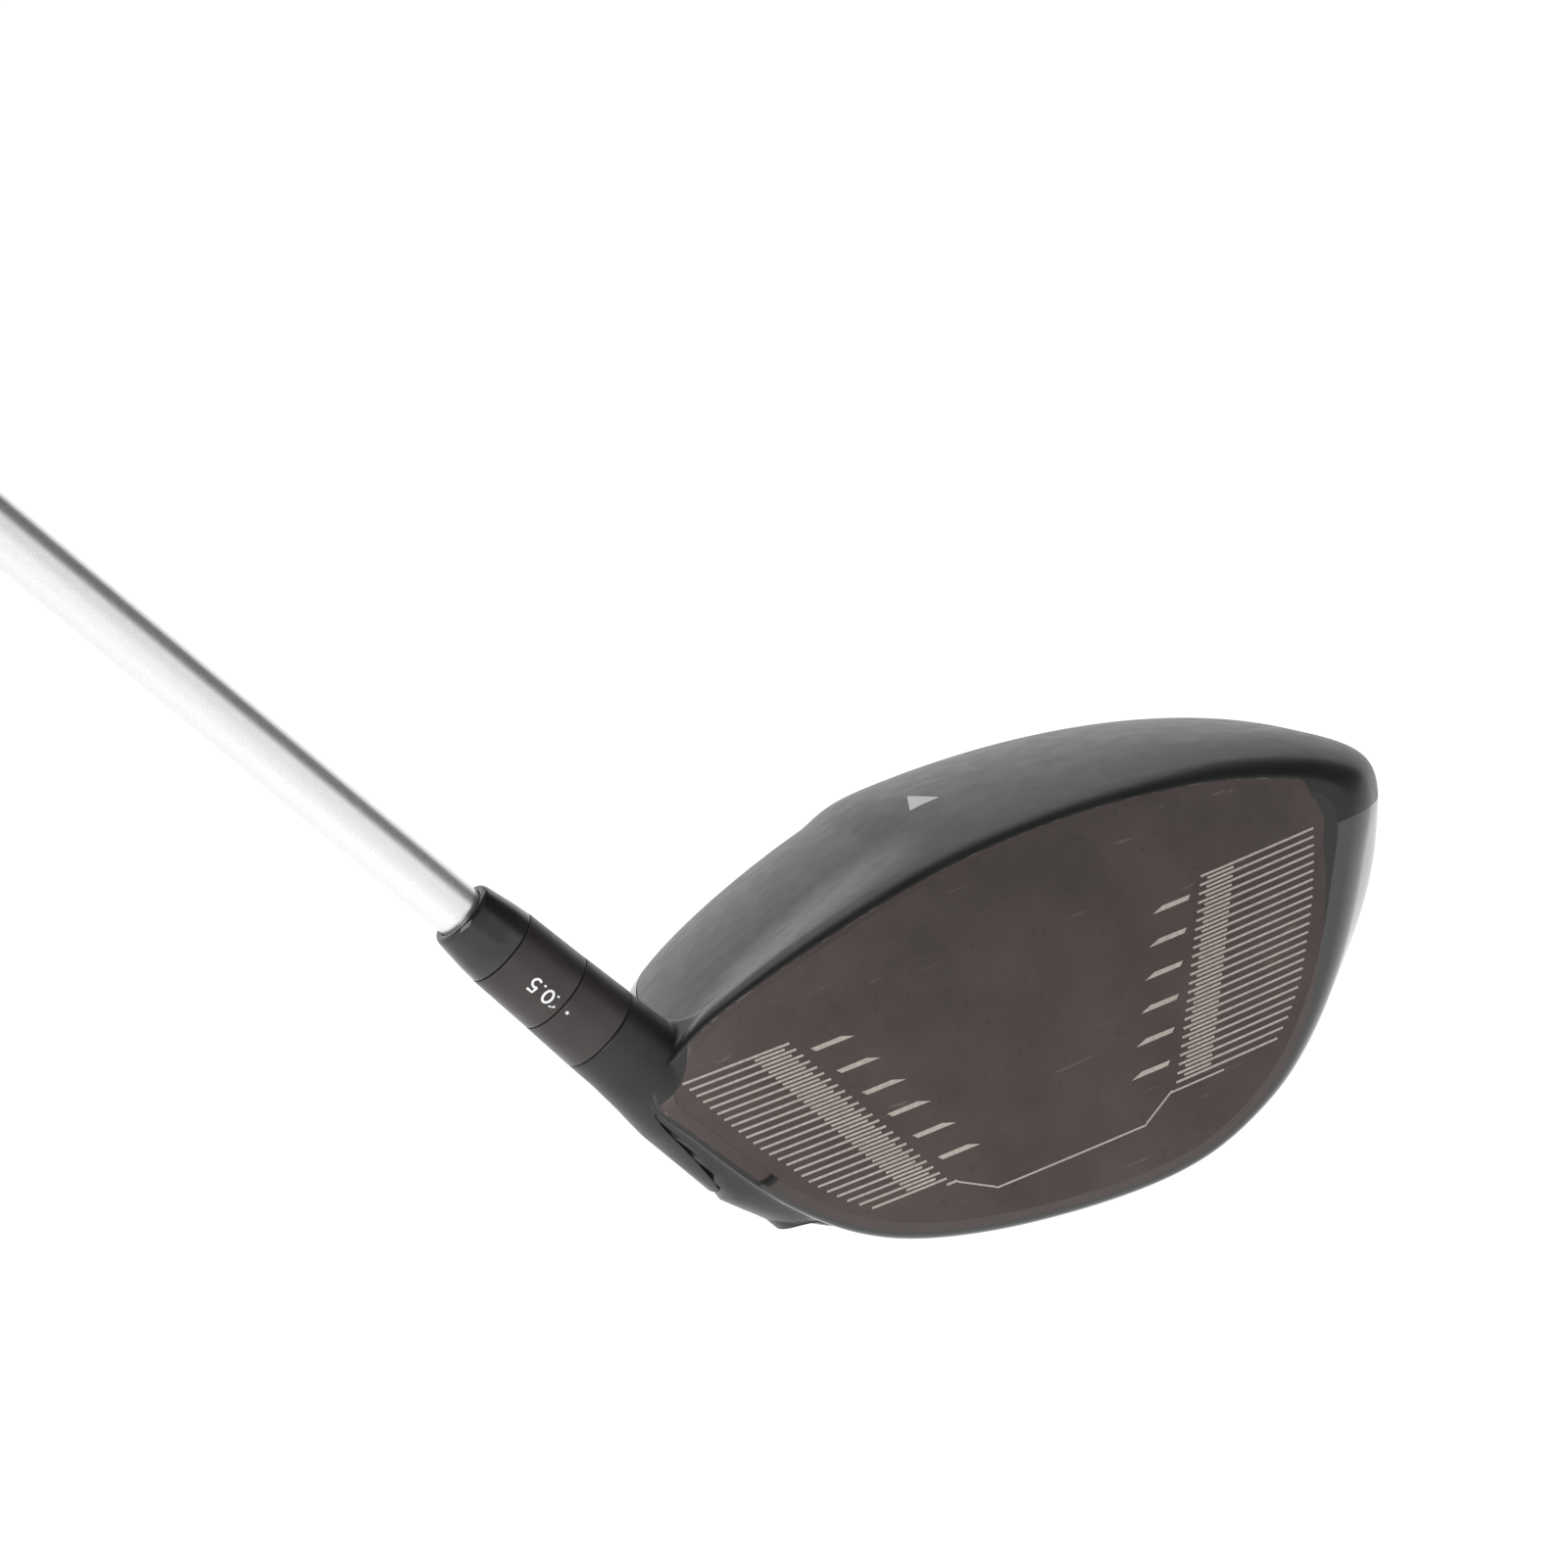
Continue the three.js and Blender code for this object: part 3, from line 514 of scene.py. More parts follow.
def satin_sleeve():
    """Dark anodised metal with fine turning lines round it."""
    finish = Finish("satin_sleeve", Specular_IOR_Level=0.6)
    rings = finish.math("SINE", finish.math("MULTIPLY", finish.attribute("along"), 42.0))
    cloud = finish.noise(5, 4)
    finish.into("Base Color", finish.mix(finish.span(cloud, 0.3, 0.7),
                                         (0.034, 0.029, 0.028), (0.05, 0.043, 0.041)))
    finish.into("Metallic", finish.span(cloud, 0.3, 0.7, 0.4, 0.5))
    finish.into("Roughness", finish.span(finish.noise(1.2, 3), 0.3, 0.7, 0.3, 0.4))
    finish.bump(rings, 0.003, 0.5)
    return finish.material


def gloss_ferrule():
    """Polished black plastic with faint handling marks."""
    finish = Finish("gloss_ferrule", Specular_IOR_Level=0.6)
    finish.into("Base Color", finish.mix(finish.noise(4, 3),
                                         (0.009, 0.009, 0.009), (0.02, 0.019, 0.019)))
    finish.into("Roughness", finish.span(finish.noise(1.0, 4, (1, 1, 0.2)), 0.35, 0.75, 0.08, 0.2))
    return finish.material


def silver_shaft():
    """Satin silver lacquer over graphite: fine metallic flake and a little variation of its satin."""
    finish = Finish("silver_shaft", Coat_Weight=0.25, Coat_Roughness=0.12)
    flake = finish.noise(0.12, 1)
    finish.into("Base Color", finish.mix(finish.span(flake, 0.35, 0.65),
                                         (0.7, 0.7, 0.705), (0.82, 0.82, 0.825)))
    finish.into("Metallic", finish.span(flake, 0.3, 0.7, 0.78, 0.92))
    finish.into("Roughness", finish.span(finish.noise(1.5, 3), 0.3, 0.7, 0.24, 0.31))
    finish.bump(flake, 0.004, 0.35)
    return finish.material


def machined(name, colour, roughness):
    """Machined metal: a fine grain and a little variation of its polish."""
    finish = Finish(name)
    pale = tuple(min(1.0, c * 1.3) for c in colour)
    finish.into("Base Color", finish.mix(finish.noise(1.5, 4), colour, pale))
    finish.into("Metallic", finish.span(finish.noise(3, 2), 0.3, 0.7, 0.9, 1.0))
    polish = finish.noise(0.7, 3)
    finish.into("Roughness", finish.span(polish, 0.3, 0.7, roughness, roughness + 0.14))
    finish.bump(finish.noise(0.12, 2), 0.006, 0.5)
    return finish.material


def moulded(name, colour, roughness, grain=0.3):
    """Moulded plastic, rubber or glue with a fine grain."""
    finish = Finish(name)
    pale = tuple(c * 1.45 + 0.002 for c in colour)
    finish.into("Base Color", finish.mix(finish.noise(2.5, 4), colour, pale))
    sheen = finish.noise(1.2, 3)
    finish.into("Roughness", finish.span(sheen, 0.3, 0.7, roughness, min(1, roughness + 0.12)))
    finish.bump(finish.noise(grain, 3), 0.03, 0.6)
    return finish.material


def grip_rubber():
    """Soft black rubber: a tacky grain, dusty in the moulded grooves."""
    finish = Finish("grip_rubber", Specular_IOR_Level=0.35)
    deep = finish.span(finish.attribute("relief"), -0.9, -0.2, 1.0, 0.0)
    base = finish.mix(finish.noise(6, 4), (0.012, 0.012, 0.012), (0.022, 0.021, 0.021))
    dusty = finish.math("MULTIPLY", deep, 0.5)
    finish.into("Base Color", finish.mix(dusty, base, (0.045, 0.043, 0.041)))
    finish.into("Roughness", finish.span(finish.noise(1.0, 3), 0.3, 0.7, 0.62, 0.78))
    finish.bump(finish.noise(0.25, 4), 0.05, 0.7)
    return finish.material


PAINT = body_paint()
FACE = face_metal()
MARKS = mark_paint()
WHITE = white_print()
SLEEVE = satin_sleeve()
FERRULE = gloss_ferrule()
SILVER = silver_shaft()
ALUMINIUM = machined("machined_aluminium", (0.46, 0.46, 0.45), 0.3)
STEEL = machined("satin_steel", (0.36, 0.35, 0.34), 0.24)
DARK_STEEL = machined("dark_steel", (0.1, 0.1, 0.105), 0.3)
RUBBER = grip_rubber()
CAP_PLASTIC = moulded("cap_plastic", (0.016, 0.016, 0.016), 0.45)
GLUE = moulded("cured_glue", (0.23, 0.21, 0.16), 0.5, 0.8)
SEAL = moulded("seal_rubber", (0.02, 0.02, 0.02), 0.7)
TAPE = moulded("paper_tape", (0.58, 0.52, 0.36), 0.8, 0.5)
PLUG = moulded("plug_plastic", (0.42, 0.3, 0.16), 0.6)


# ---- where the head changes finish -------------------------------------------------------------
def parting_height(x, y):
    """Height of the line between matte crown and gloss sole: the belt, raised at two corners."""
    belt = section(np.clip(y, 0, HEAD_DEPTH))[3]
    rear_heel = 4 * ease((-x - 10) / 35) * ease((y - 25) / 35)
    toe_front = 2.6 * ease((x - 35) / 30) * ease(1 - y / 24)
    return belt + rear_heel + toe_front


MATTE_FOOT = 13.4  # radius round the hosel axis that stays matte


def gloss_at(points):
    """How far below the parting line a point is, in millimetres; the hosel's foot stays matte."""
    origin, axis = HOSEL[0], HOSEL[1]
    along = (points - origin) @ axis
    out = np.linalg.norm(points - origin - along[..., None] * axis, axis=-1)
    below = parting_height(points[..., 0], points[..., 1]) - points[..., 2]
    return np.minimum(below, out - MATTE_FOOT)


STRIP = np.array([  # angle in degrees, share
    (-40, 1.2), (-32, 0.985), (-26, 0.975), (-14.5, 0.952), (-7.3, 0.936), (-0.3, 0.902),
    (5.7, 0.913), (8.3, 0.935), (11, 0.99), (13, 1.2)])


def strip_at(angle, share):
    """How far a face point lies outside the satin insert, towards the gloss strip at the toe."""
    degrees = np.degrees(np.arctan2(np.sin(angle), np.cos(angle)))
    return (share - np.interp(degrees, *STRIP.T)) * outline_radius(angle)


# ---- the head ----------------------------------------------------------------------------------
COLUMNS = 420
TURN = np.linspace(-math.pi, math.pi, COLUMNS, endpoint=False)
ROOT_DROP = 3.0
EXIT_DROP = 15.0
PATCH_ROOT = HOSEL_FOOT - ROOT_DROP * HOSEL_AXIS  # rays from here draw the neck
EXIT_ROOT = HOSEL_FOOT - EXIT_DROP * HOSEL_AXIS  # and from here the hole in the sole
PATCH_COUNT = 240  # points round a patch
FACE_CLEAR = 1.6  # a patch stops this far behind the face


def face_points(angle, share):
    """The bulged face: a share of the outline's radius about its centre."""
    radius = outline_radius(angle) * share
    x, z = RIDGE[0] + radius * np.cos(angle), BELT[0] + radius * np.sin(angle)
    return np.stack([x, face_depth(x, z), z], -1)


def ray_directions(axis_sign, turn, tilt):
    """Unit vectors tilted from the hosel axis (or its reverse) towards a turn round it."""
    _, axis, first, second = HOSEL
    ring = np.cos(turn)[..., None] * first + np.sin(turn)[..., None] * second
    return axis_sign * np.cos(tilt)[..., None] * axis + np.sin(tilt)[..., None] * ring


PATCH_TURN = np.linspace(0, 2 * math.pi, PATCH_COUNT, endpoint=False)


def patch_limit(root, sign, steepest, reach_out):
    """For each turn, the tilt at which rays from the root leave the zone round the hosel."""
    tilt = np.radians(np.arange(30, steepest, 1.5))
    turn, tilts = np.meshgrid(PATCH_TURN, tilt, indexing="ij")
    hits = first_surface(union_field, root, ray_directions(sign, turn, tilts), 2, 60)
    along = (hits - HOSEL_FOOT) @ HOSEL_AXIS
    out = np.linalg.norm(hits - HOSEL_FOOT - along[..., None] * HOSEL_AXIS, axis=-1)
    behind_face = hits[..., 1] - face_depth(hits[..., 0], hits[..., 2])
    beyond = (out > reach_out) | (behind_face < FACE_CLEAR)
    limit = tilt[np.where(beyond.any(1), beyond.argmax(1), len(tilt) - 1)]
    reach = 9  # turns each side over which the limit is held to its least and then smoothed
    around_it = np.concatenate([limit[-2 * reach:], limit, limit[:2 * reach]])
    least = np.lib.stride_tricks.sliding_window_view(around_it, 2 * reach + 1).min(1)
    kernel = np.hanning(2 * reach + 3)[1:-1]
    return np.convolve(least, kernel / kernel.sum(), "valid")


PATCH_LIMIT = patch_limit(PATCH_ROOT, 1, 112, 19.5)
EXIT_LIMIT = patch_limit(EXIT_ROOT, -1, 56, 12.0)


def neck_patch():
    """The hosel: bore, top lip, neck and its flow into the head, as rings round the hosel axis."""
    lip = softened([(BORE, 3), (BORE, HOSEL_TOP), (7.5, HOSEL_TOP), (7.52, HOSEL_TOP - 1.2)], 0.3)
    turn = PATCH_TURN[None, :]
    one = (1, PATCH_COUNT)
    rings = [around(HOSEL, turn, np.full(one, r), np.full(one, s)) for r, s in lip]
    stations = np.arange(HOSEL_TOP - 1.8, 11, -0.6)
    start = np.arctan2(np.interp(stations, NECK_S, NECK_R), stations + ROOT_DROP)
    flow = np.linspace(0, 1, 70)[1:, None]
    tilt = np.vstack([start[:, None] + 0 * turn,
                      start[-1] + (PATCH_LIMIT[None, :] - start[-1]) * flow])
    hits = first_surface(union_field, PATCH_ROOT, ray_directions(1, turn + 0 * tilt, tilt), 3, 60)
    points = np.concatenate([*rings, hits]).reshape(-1, 3)
    return points, grid_faces(len(rings) + len(tilt), PATCH_COUNT)


def exit_patch():
    """The wrench hole in the sole: a short bore, its edge, and the surface round it."""
    turn = PATCH_TURN[None, :]
    one = (1, PATCH_COUNT)
    inside = around(HOSEL, turn, np.full(one, BORE), np.full(one, -EXIT_DROP))
    edge = first_surface(union_field, inside, np.broadcast_to(-HOSEL_AXIS, (*one, 3)), 0, 40)
    rise = np.array([6.0, 0.3])[:, None, None]
    bore = edge + rise * HOSEL_AXIS
    to_edge = edge[0] - EXIT_ROOT
    begin = np.arccos((to_edge @ -HOSEL_AXIS) / np.linalg.norm(to_edge, axis=-1))
    share = np.concatenate([[0.02], np.linspace(0.06, 1, 26)])[:, None]
    tilt = begin + (np.maximum(EXIT_LIMIT, begin + 0.05) - begin) * share
    hits = first_surface(union_field, EXIT_ROOT, ray_directions(-1, turn + 0 * tilt, tilt), 2, 40)
    points = np.concatenate([bore, hits]).reshape(-1, 3)
    return points, grid_faces(len(bore) + len(tilt), PATCH_COUNT)


def polar_about(root, sign, points):
    """Distance, tilt from the hosel axis and turn round it of points seen from a root."""
    _, axis, first, second = HOSEL
    reach = points - root
    length = np.linalg.norm(reach, axis=-1)
    tilt = np.arccos(np.clip(sign * (reach @ axis) / length, -1, 1))
    return length, tilt, np.arctan2(reach @ second, reach @ first) % (2 * math.pi)


NECK_REACH = 34  # distances from the two roots past which the grid is left alone
EXIT_REACH = 30


def sunk(points):
    """The casting's grid drawn out to the blended surface, and lowered under the patches.

    Also says how many degrees inside a patch each point is.
    """
    length, tilt, turn = polar_about(PATCH_ROOT, 1, points)
    behind_face = points[:, 1] - face_depth(points[:, 0], points[:, 2])
    near = (length < NECK_REACH) & (behind_face > 0.4)
    made = points.copy()
    rays = ray_directions(1, turn[near], tilt[near])
    made[near] = first_surface(union_field, PATCH_ROOT, rays, 2, 60)
    whole = 2 * math.pi
    upper = np.degrees(np.interp(turn, PATCH_TURN, PATCH_LIMIT, period=whole) - tilt)
    far, tilt_down, turn_down = polar_about(EXIT_ROOT, -1, points)
    lower = np.degrees(np.interp(turn_down, PATCH_TURN, EXIT_LIMIT, period=whole) - tilt_down)
    inside = np.maximum(np.where(length < NECK_REACH, upper, -90),
                        np.where(far < EXIT_REACH, lower, -90))
    inward = (made - PATCH_ROOT) / length[:, None]
    return made - inward * 0.5 * ease(inside / 4)[:, None], inside


def front_casting():
    """The cast front: face rim, walls to the shells, and the hosel with its hole in the sole."""
    shares = np.linspace(PLATE_EDGE, 1, 6)[:, None]
    rim = face_points(TURN[None, :], shares)
    edge = EDGE_ROUND * (1 - np.cos(np.linspace(0, math.pi / 2, 12)[1:]))
    stations = np.concatenate([edge, np.arange(EDGE_ROUND + 1, FRONT_DEPTH + 0.5)])[:, None]
    walls = head_points(TURN[None, :], stations)
    grid = np.concatenate([rim, walls])
    on_face = np.concatenate([(0.992 - shares) * 58 + 0 * TURN, -3 + 0 * walls[..., 0]])
    strip = strip_at(TURN[None, :], shares)
    on_face[:len(shares)] = np.minimum(on_face[:len(shares)], -strip)
    flat, inside = sunk(grid.reshape(-1, 3))
    faces = grid_faces(len(grid), COLUMNS)
    faces = faces[(inside[faces] < 9).any(1)]
    neck, neck_faces = neck_patch()
    hole, hole_faces = exit_patch()
    points = np.concatenate([flat, neck, hole])
    faces = np.concatenate([outward(flat, faces), len(flat) + outward(neck, neck_faces),
                            len(flat) + len(neck) + outward(hole, hole_faces)])
    face = np.concatenate([on_face.ravel(), np.full(len(neck) + len(hole), -3.0)])
    values = {"gloss": gloss_at(points), "face": face}
    piece = build("front_casting", points, faces, PAINT, values)
    return fit_on(thicken(piece, 0.9), "head", "body_paint", "front_body")


def outward(points, faces, centre=(0.0, 45.0, 0.0)):
    """The faces turned so that on the whole they look away from a point inside the head."""
    a, b, c = (points[faces[:, k]] for k in range(3))
    normal = np.cross(b - a, c - a)
    facing = np.einsum("ij,ij->i", normal, (a + c) / 2 - np.asarray(centre)).sum()
    return faces if facing > 0 else faces[:, ::-1]


REAR = FRONT_DEPTH + (HEAD_DEPTH - 0.0001 - FRONT_DEPTH) * np.sin(np.linspace(0, math.pi / 2, 110))


def heel_parting(y):
    """The angle at which the section at depth y reaches the parting line on the heel side."""
    low, high = np.full_like(y, math.pi * 0.55), np.full_like(y, math.pi)
    for _ in range(30):
        middle = (low + high) / 2
        point = head_points(middle, y)
        above = point[:, 2] > parting_height(point[:, 0], y)
        low, high = np.where(above, middle, low), np.where(above, high, middle)
    return low


def shell_grid(start, end, columns):
    """Points between two angles at every rear station, with the last station on the rear pole."""
    share = np.linspace(0, 1, columns)[None, :]
    angle = start[:, None] + (end - start)[:, None] * share
    points = head_points(angle, REAR[:, None] + 0 * angle)
    points[-1] = (0, HEAD_DEPTH, BELT[2])
    return points


def rear_shells():
    """The crown shell above the parting line and the sole shell below it, each as a thin wall."""
    parting = heel_parting(REAR)
    zero = np.zeros_like(parting)
    gap = 0.0012  # angle left open along the parting line
    crown = shell_grid(zero + gap, parting - gap, 220)
    sole = shell_grid(parting + gap, zero + 2 * math.pi - gap, 220)
    for name, grid, slot, node in (("crown", crown, "crown_paint", "crown_shell"),
                                   ("sole", sole, "sole_gloss", "sole_shell")):
        points = grid.reshape(-1, 3)
        faces = grid_faces(*grid.shape[:2], closed=False)
        if name == "sole":
            points, faces = with_port_opening(points, faces)
        gloss = np.full(len(points), -3.0 if name == "crown" else 3.0)
        piece = build(name, points, outward(points, faces), PAINT,
                      {"gloss": gloss, "face": np.full(len(points), -3.0)})
        merge_close(piece, 0.004)
        fit_on(thicken(piece, 1.0), "head", slot, node)


def weight_axes():
    """The axis of the rear weight: square to the sole's keel, pointing out of it."""
    down = np.array(-math.pi / 2)
    spot, before, after = (head_points(down, np.array(WEIGHT_DEPTH + step))
                           for step in (0.0, -1.0, 1.0))
    keel = after - before
    axis = np.array([0, keel[2], -keel[1]]) / np.hypot(keel[1], keel[2])
    return axis_frame(spot, axis, np.array([1.0, 0, 0]))


WEIGHT = weight_axes()
PORT_HOLE = CUP_RADIUS + 1.5
PORT_PATCH = 15.5


def sole_ring(radius, turn=PATCH_TURN):
    """The sole's surface at a radius round the weight axis, found along that axis."""
    base = around(WEIGHT, turn, np.full(turn.shape, radius), np.full(turn.shape, -9.0))
    hits = first_surface(head_field, base, np.broadcast_to(WEIGHT[1], base.shape), 0, 16)
    hits[..., 2] = np.maximum(hits[..., 2], GROUND)
    return hits


def with_port_opening(points, faces):
    """The sole's grid with its middle flattened to the ground, and a round port in its patch."""
    points = points.copy()
    points[:, 2] = np.maximum(points[:, 2], GROUND)
    origin, axis = WEIGHT[0], WEIGHT[1]
    offset = points - origin
    along = offset @ axis
    out = np.linalg.norm(offset - along[:, None] * axis, axis=1)
    out = np.where(np.abs(along) < 12, out, 99)
    points = points - 0.5 * ease((PORT_PATCH - out) / 2)[:, None] * axis
    faces = faces[(out[faces] > 12.5).any(1)]
    radii = np.concatenate([[PORT_HOLE, PORT_HOLE + 0.1],
                            np.linspace(PORT_HOLE + 0.3, PORT_PATCH, 10)])
    rings = np.array([sole_ring(radius) for radius in radii])
    rings[0] -= 1.0 * axis
    patch = rings.reshape(-1, 3)
    patch_faces = outward(patch, grid_faces(len(rings), len(PATCH_TURN)))
    kept = outward(points, faces)
    return np.concatenate([points, patch]), np.concatenate([kept, len(points) + patch_faces])


def face_plate():
    """The bulged face plate, fine enough for its gloss strip to have a clean edge."""
    shares = np.concatenate([[1e-4], np.linspace(0.02, 0.86, 46),
                             np.linspace(0.864, PLATE_EDGE - 0.0004, 34)])
    turn = np.linspace(-math.pi, math.pi, 360, endpoint=False)
    points = face_points(turn[None, :], shares[:, None])
    strip = strip_at(turn[None, :], shares[:, None])
    faces = outward(points.reshape(-1, 3), grid_faces(len(shares), len(turn)))
    piece = build("face", points.reshape(-1, 3), faces, FACE, {"strip": strip.ravel()})
    merge_close(piece)
    return fit_on(thicken(piece, 2.4), "head", "face_metal", "face_plate")


def merge_close(piece, distance=0.03):
    """Welds points closer than a distance in millimetres, as at a pole."""
    work = bmesh.new()
    work.from_mesh(piece.data)
    bmesh.ops.remove_doubles(work, verts=work.verts, dist=distance * MM)
    work.to_mesh(piece.data)
    work.free()


# ---- marks on the face, the sleeve and the crown -----------------------------------------------
MARK_RISE = 0.05
LINE_PITCH = 1.27
LINES = 24
TOP_LINE = 12.07


def on_face(x, h, rise=0.0):
    """A point of the face x across and h up its slope from its centre, raised along its normal."""
    sag = x**2 / (2 * BULGE) + h**2 / (2 * ROLL)
    high = h * math.cos(LOFT) - sag * math.sin(LOFT)
    deep = face_depth(x, high)
    return np.stack([x, deep - rise * math.cos(LOFT), high + rise * math.sin(LOFT)], -1)


def raised_bar(low, high, columns=14):
    """A thin closed bar between two edges on the face, each given as its two end points (x, h)."""
    share = np.linspace(0, 1, columns)[:, None]
    a = np.array(low[0]) * (1 - share) + np.array(low[1]) * share
    b = np.array(high[0]) * (1 - share) + np.array(high[1]) * share
    loop = [on_face(a[:, 0], a[:, 1], -0.05), on_face(a[:, 0], a[:, 1], MARK_RISE),
            on_face(b[:, 0], b[:, 1], MARK_RISE), on_face(b[:, 0], b[:, 1], -0.05)]
    points = np.stack(loop, 1).reshape(-1, 3)
    faces = grid_faces(columns, 4).tolist()
    last = 4 * (columns - 1)
    return points, faces + [[0, 1, 2, 3], [last + 3, last + 2, last + 1, last]]


def outer_end(side, h):
    """How far out a line reaches: a curve inside the face outline, longer on the toe side."""
    heights = [-17.3, -14.85, -12.07, -9.5, -5.9, -2, 1.9, 7, 12.2]
    toe = [39.4, 42.4, 45.0, 47.2, 49.4, 51.8, 54.0, 56.4, 58.5]
    heel = [33.0, 36.3, 39.0, 41.2, 43.4, 46.4, 48.7, 51.6, 54.3]
    return np.interp(h, heights, toe if side > 0 else heel)


def face_bars():
    """The pattern: long lines with short ones between them, slim dashes, and a line under all."""
    bars = []

    def bar(side, start, end, h, width):
        low, high = h - width / 2, h + width / 2
        bars.append(raised_bar([(side * start, low), (side * end, low)],
                               [(side * start, high), (side * end, high)]))

    inner_top, inner_bottom = 36.5, 20.5
    for side in (-1, 1):
        for row in range(LINES):
            h = TOP_LINE - LINE_PITCH * row
            inner = inner_top + (inner_bottom - inner_top) * row / (LINES - 1)
            bar(side, inner, outer_end(side, h), h, 0.36)
            if row < LINES - 1:
                bar(side, inner + 1.0, inner + 6.0, h - LINE_PITCH / 2, 0.36)
        for row in range(6):
            h, inner = 9.75 - 4.69 * row, 26.4 - 2.59 * row
            low = [(side * inner, h - 0.33), (side * (inner + 6.6), h - 0.36)]
            high = [(side * (inner + 2.1), h + 0.42), (side * (inner + 7.3), h + 0.34)]
            bars.append(raised_bar(low, high))
        bars.append(raised_bar([(side * 13.1, -21.75), (side * 18.9, -18.5)],
                               [(side * 13.5, -21.2), (side * 19.4, -17.9)]))
    bars.append(raised_bar([(-13.3, -21.75), (13.3, -21.75)], [(-13.3, -21.45), (13.3, -21.45)]))
    bar(-1, 19.0, 20.8, -18.1, 0.4)
    bar(1, 19.0, 29.0, -18.3, 0.3)
    return bars


def joined(name, parts, finish):
    """Many small closed bars as one object."""
    counts = np.cumsum([0] + [len(points) for points, _ in parts])
    faces = [[first + v for v in face]
             for first, (_, quads) in zip(counts, parts) for face in quads]
    piece = build(name, np.concatenate([points for points, _ in parts]), faces, finish)
    face_out(piece)
    return piece


def face_out(piece):
    """Turns every face of a closed mesh outwards."""
    work = bmesh.new()
    work.from_mesh(piece.data)
    bmesh.ops.recalc_face_normals(work, faces=work.faces)
    work.to_mesh(piece.data)
    work.free()


DIGITS = {  # strokes in a cell one high, as corners
    "1": [[(0.02, 0.72), (0.3, 1.0), (0.3, 0.0)]],
    "0": [[(0.34 + 0.3 * math.sin(t), 0.5 + 0.46 * math.cos(t))
           for t in np.linspace(0, 2 * math.pi, 25)]],
    ".": [[(0.1, 0.0), (0.1, 0.14)]],
    "5": [[(0.6, 0.96), (0.14, 0.96), (0.1, 0.54)]
          + [(0.3 + 0.3 * math.sin(t), 0.3 + 0.3 * math.cos(t))
             for t in np.linspace(-0.75, 3.9, 16)]],
}
WIDTHS = {"1": 0.5, "0": 0.86, ".": 0.36, "5": 0.8}
DIGIT_HEIGHT = 2.35
SLEEVE_CONE = (8.083, -0.0283)  # radius at the face centre's height, and its change along the axis
RING_CONE = (8.47, -0.0385)
VIEW_SIDE = axis_frame(HOSEL_FOOT, HOSEL_AXIS, np.array([-0.155, -0.98, -0.09]))


def on_turned(cone, place, up, rise):
    """Points on a cone about the hosel axis: place along it, up round it, raised off its radius."""
    radius = cone[0] + cone[1] * place
    return around(VIEW_SIDE, up / radius, radius + rise, place)


def stroke(corners, width, cone, start):
    """A thin raised ribbon along a stroke's corners, wrapped on a turned surface."""
    path = np.array(corners, float)
    step = np.gradient(path, axis=0)
    step /= np.linalg.norm(step, axis=1)[:, None]
    side = np.stack([-step[:, 1], step[:, 0]], 1) * width / 2
    edges = [path - side, path + side]
    layers = [(edges[0], -0.05), (edges[0], 0.04), (edges[1], 0.04), (edges[1], -0.05)]
    loop = [on_turned(cone, start + e[:, 0] * DIGIT_HEIGHT, (0.5 - e[:, 1]) * DIGIT_HEIGHT, rise)
            for e, rise in layers]
    points = np.stack(loop, 1).reshape(-1, 3)
    last = 4 * (len(path) - 1)
    caps = [[0, 1, 2, 3], [last + 3, last + 2, last + 1, last]]
    return points, grid_faces(len(path), 4).tolist() + caps


def sleeve_number():
    """The loft setting printed on the sleeve, and the dot on the ring that it lines up with."""
    parts = []
    start = RING_TOP + 0.9
    for digit in "10.5":
        parts += [stroke(corners, 0.17, SLEEVE_CONE, start) for corners in DIGITS[digit]]
        start += WIDTHS[digit] * DIGIT_HEIGHT
    number = joined("loft_number", parts, WHITE)
    fit_on(number, "shaft_assembly", "sleeve_metal")
    spot = stroke([(0.0, 0.5), (0.1, 0.5), (0.2, 0.5)], 0.22, RING_CONE, RING_TOP - 1.4)
    dot = joined("loft_dot", [spot], WHITE)
    fit_on(dot, "loft_ring", "sleeve_metal")


CROWN_MARK = (4.5, 39.0, 2.7, 8.5)  # x and y of its middle, half width, depth


def crown_mark():
    """A plain alignment triangle on the crown, laid on its surface along the line of sight down."""
    centre_x, centre_y, half, deep = CROWN_MARK
    share = np.linspace(0, 1, 12)[:, None]
    across = np.linspace(-1, 1, 13)[None, :]
    x = centre_x + across * half * (1 - 0.96 * share)
    y = centre_y + deep * (share - 0.5) + 0 * across
    start = np.stack([x, y, np.full_like(x, 5.0)], -1)
    hits = first_surface(head_field, start, np.broadcast_to([0.0, 0.0, 1.0], start.shape), 0, 40)
    hits[..., 2] += 0.06
    points = hits.reshape(-1, 3)
    piece = build("crown_mark", points, outward(points, grid_faces(12, 13, closed=False)), WHITE)
    return fit_on(thicken(piece, 0.12), "head", "crown_paint")




# ---- turned pieces on the hosel axis -----------------------------------------------------------
def shaft_radius(at):
    """Radius of the shaft: parallel at the tip, then an even taper to the butt."""
    rise = np.clip((at - SHAFT_TIP - TIP_LENGTH) / (BUTT_END - SHAFT_TIP - TIP_LENGTH), 0, 1)
    return SHAFT_TIP_RADIUS + (SHAFT_BUTT_RADIUS - SHAFT_TIP_RADIUS) * rise


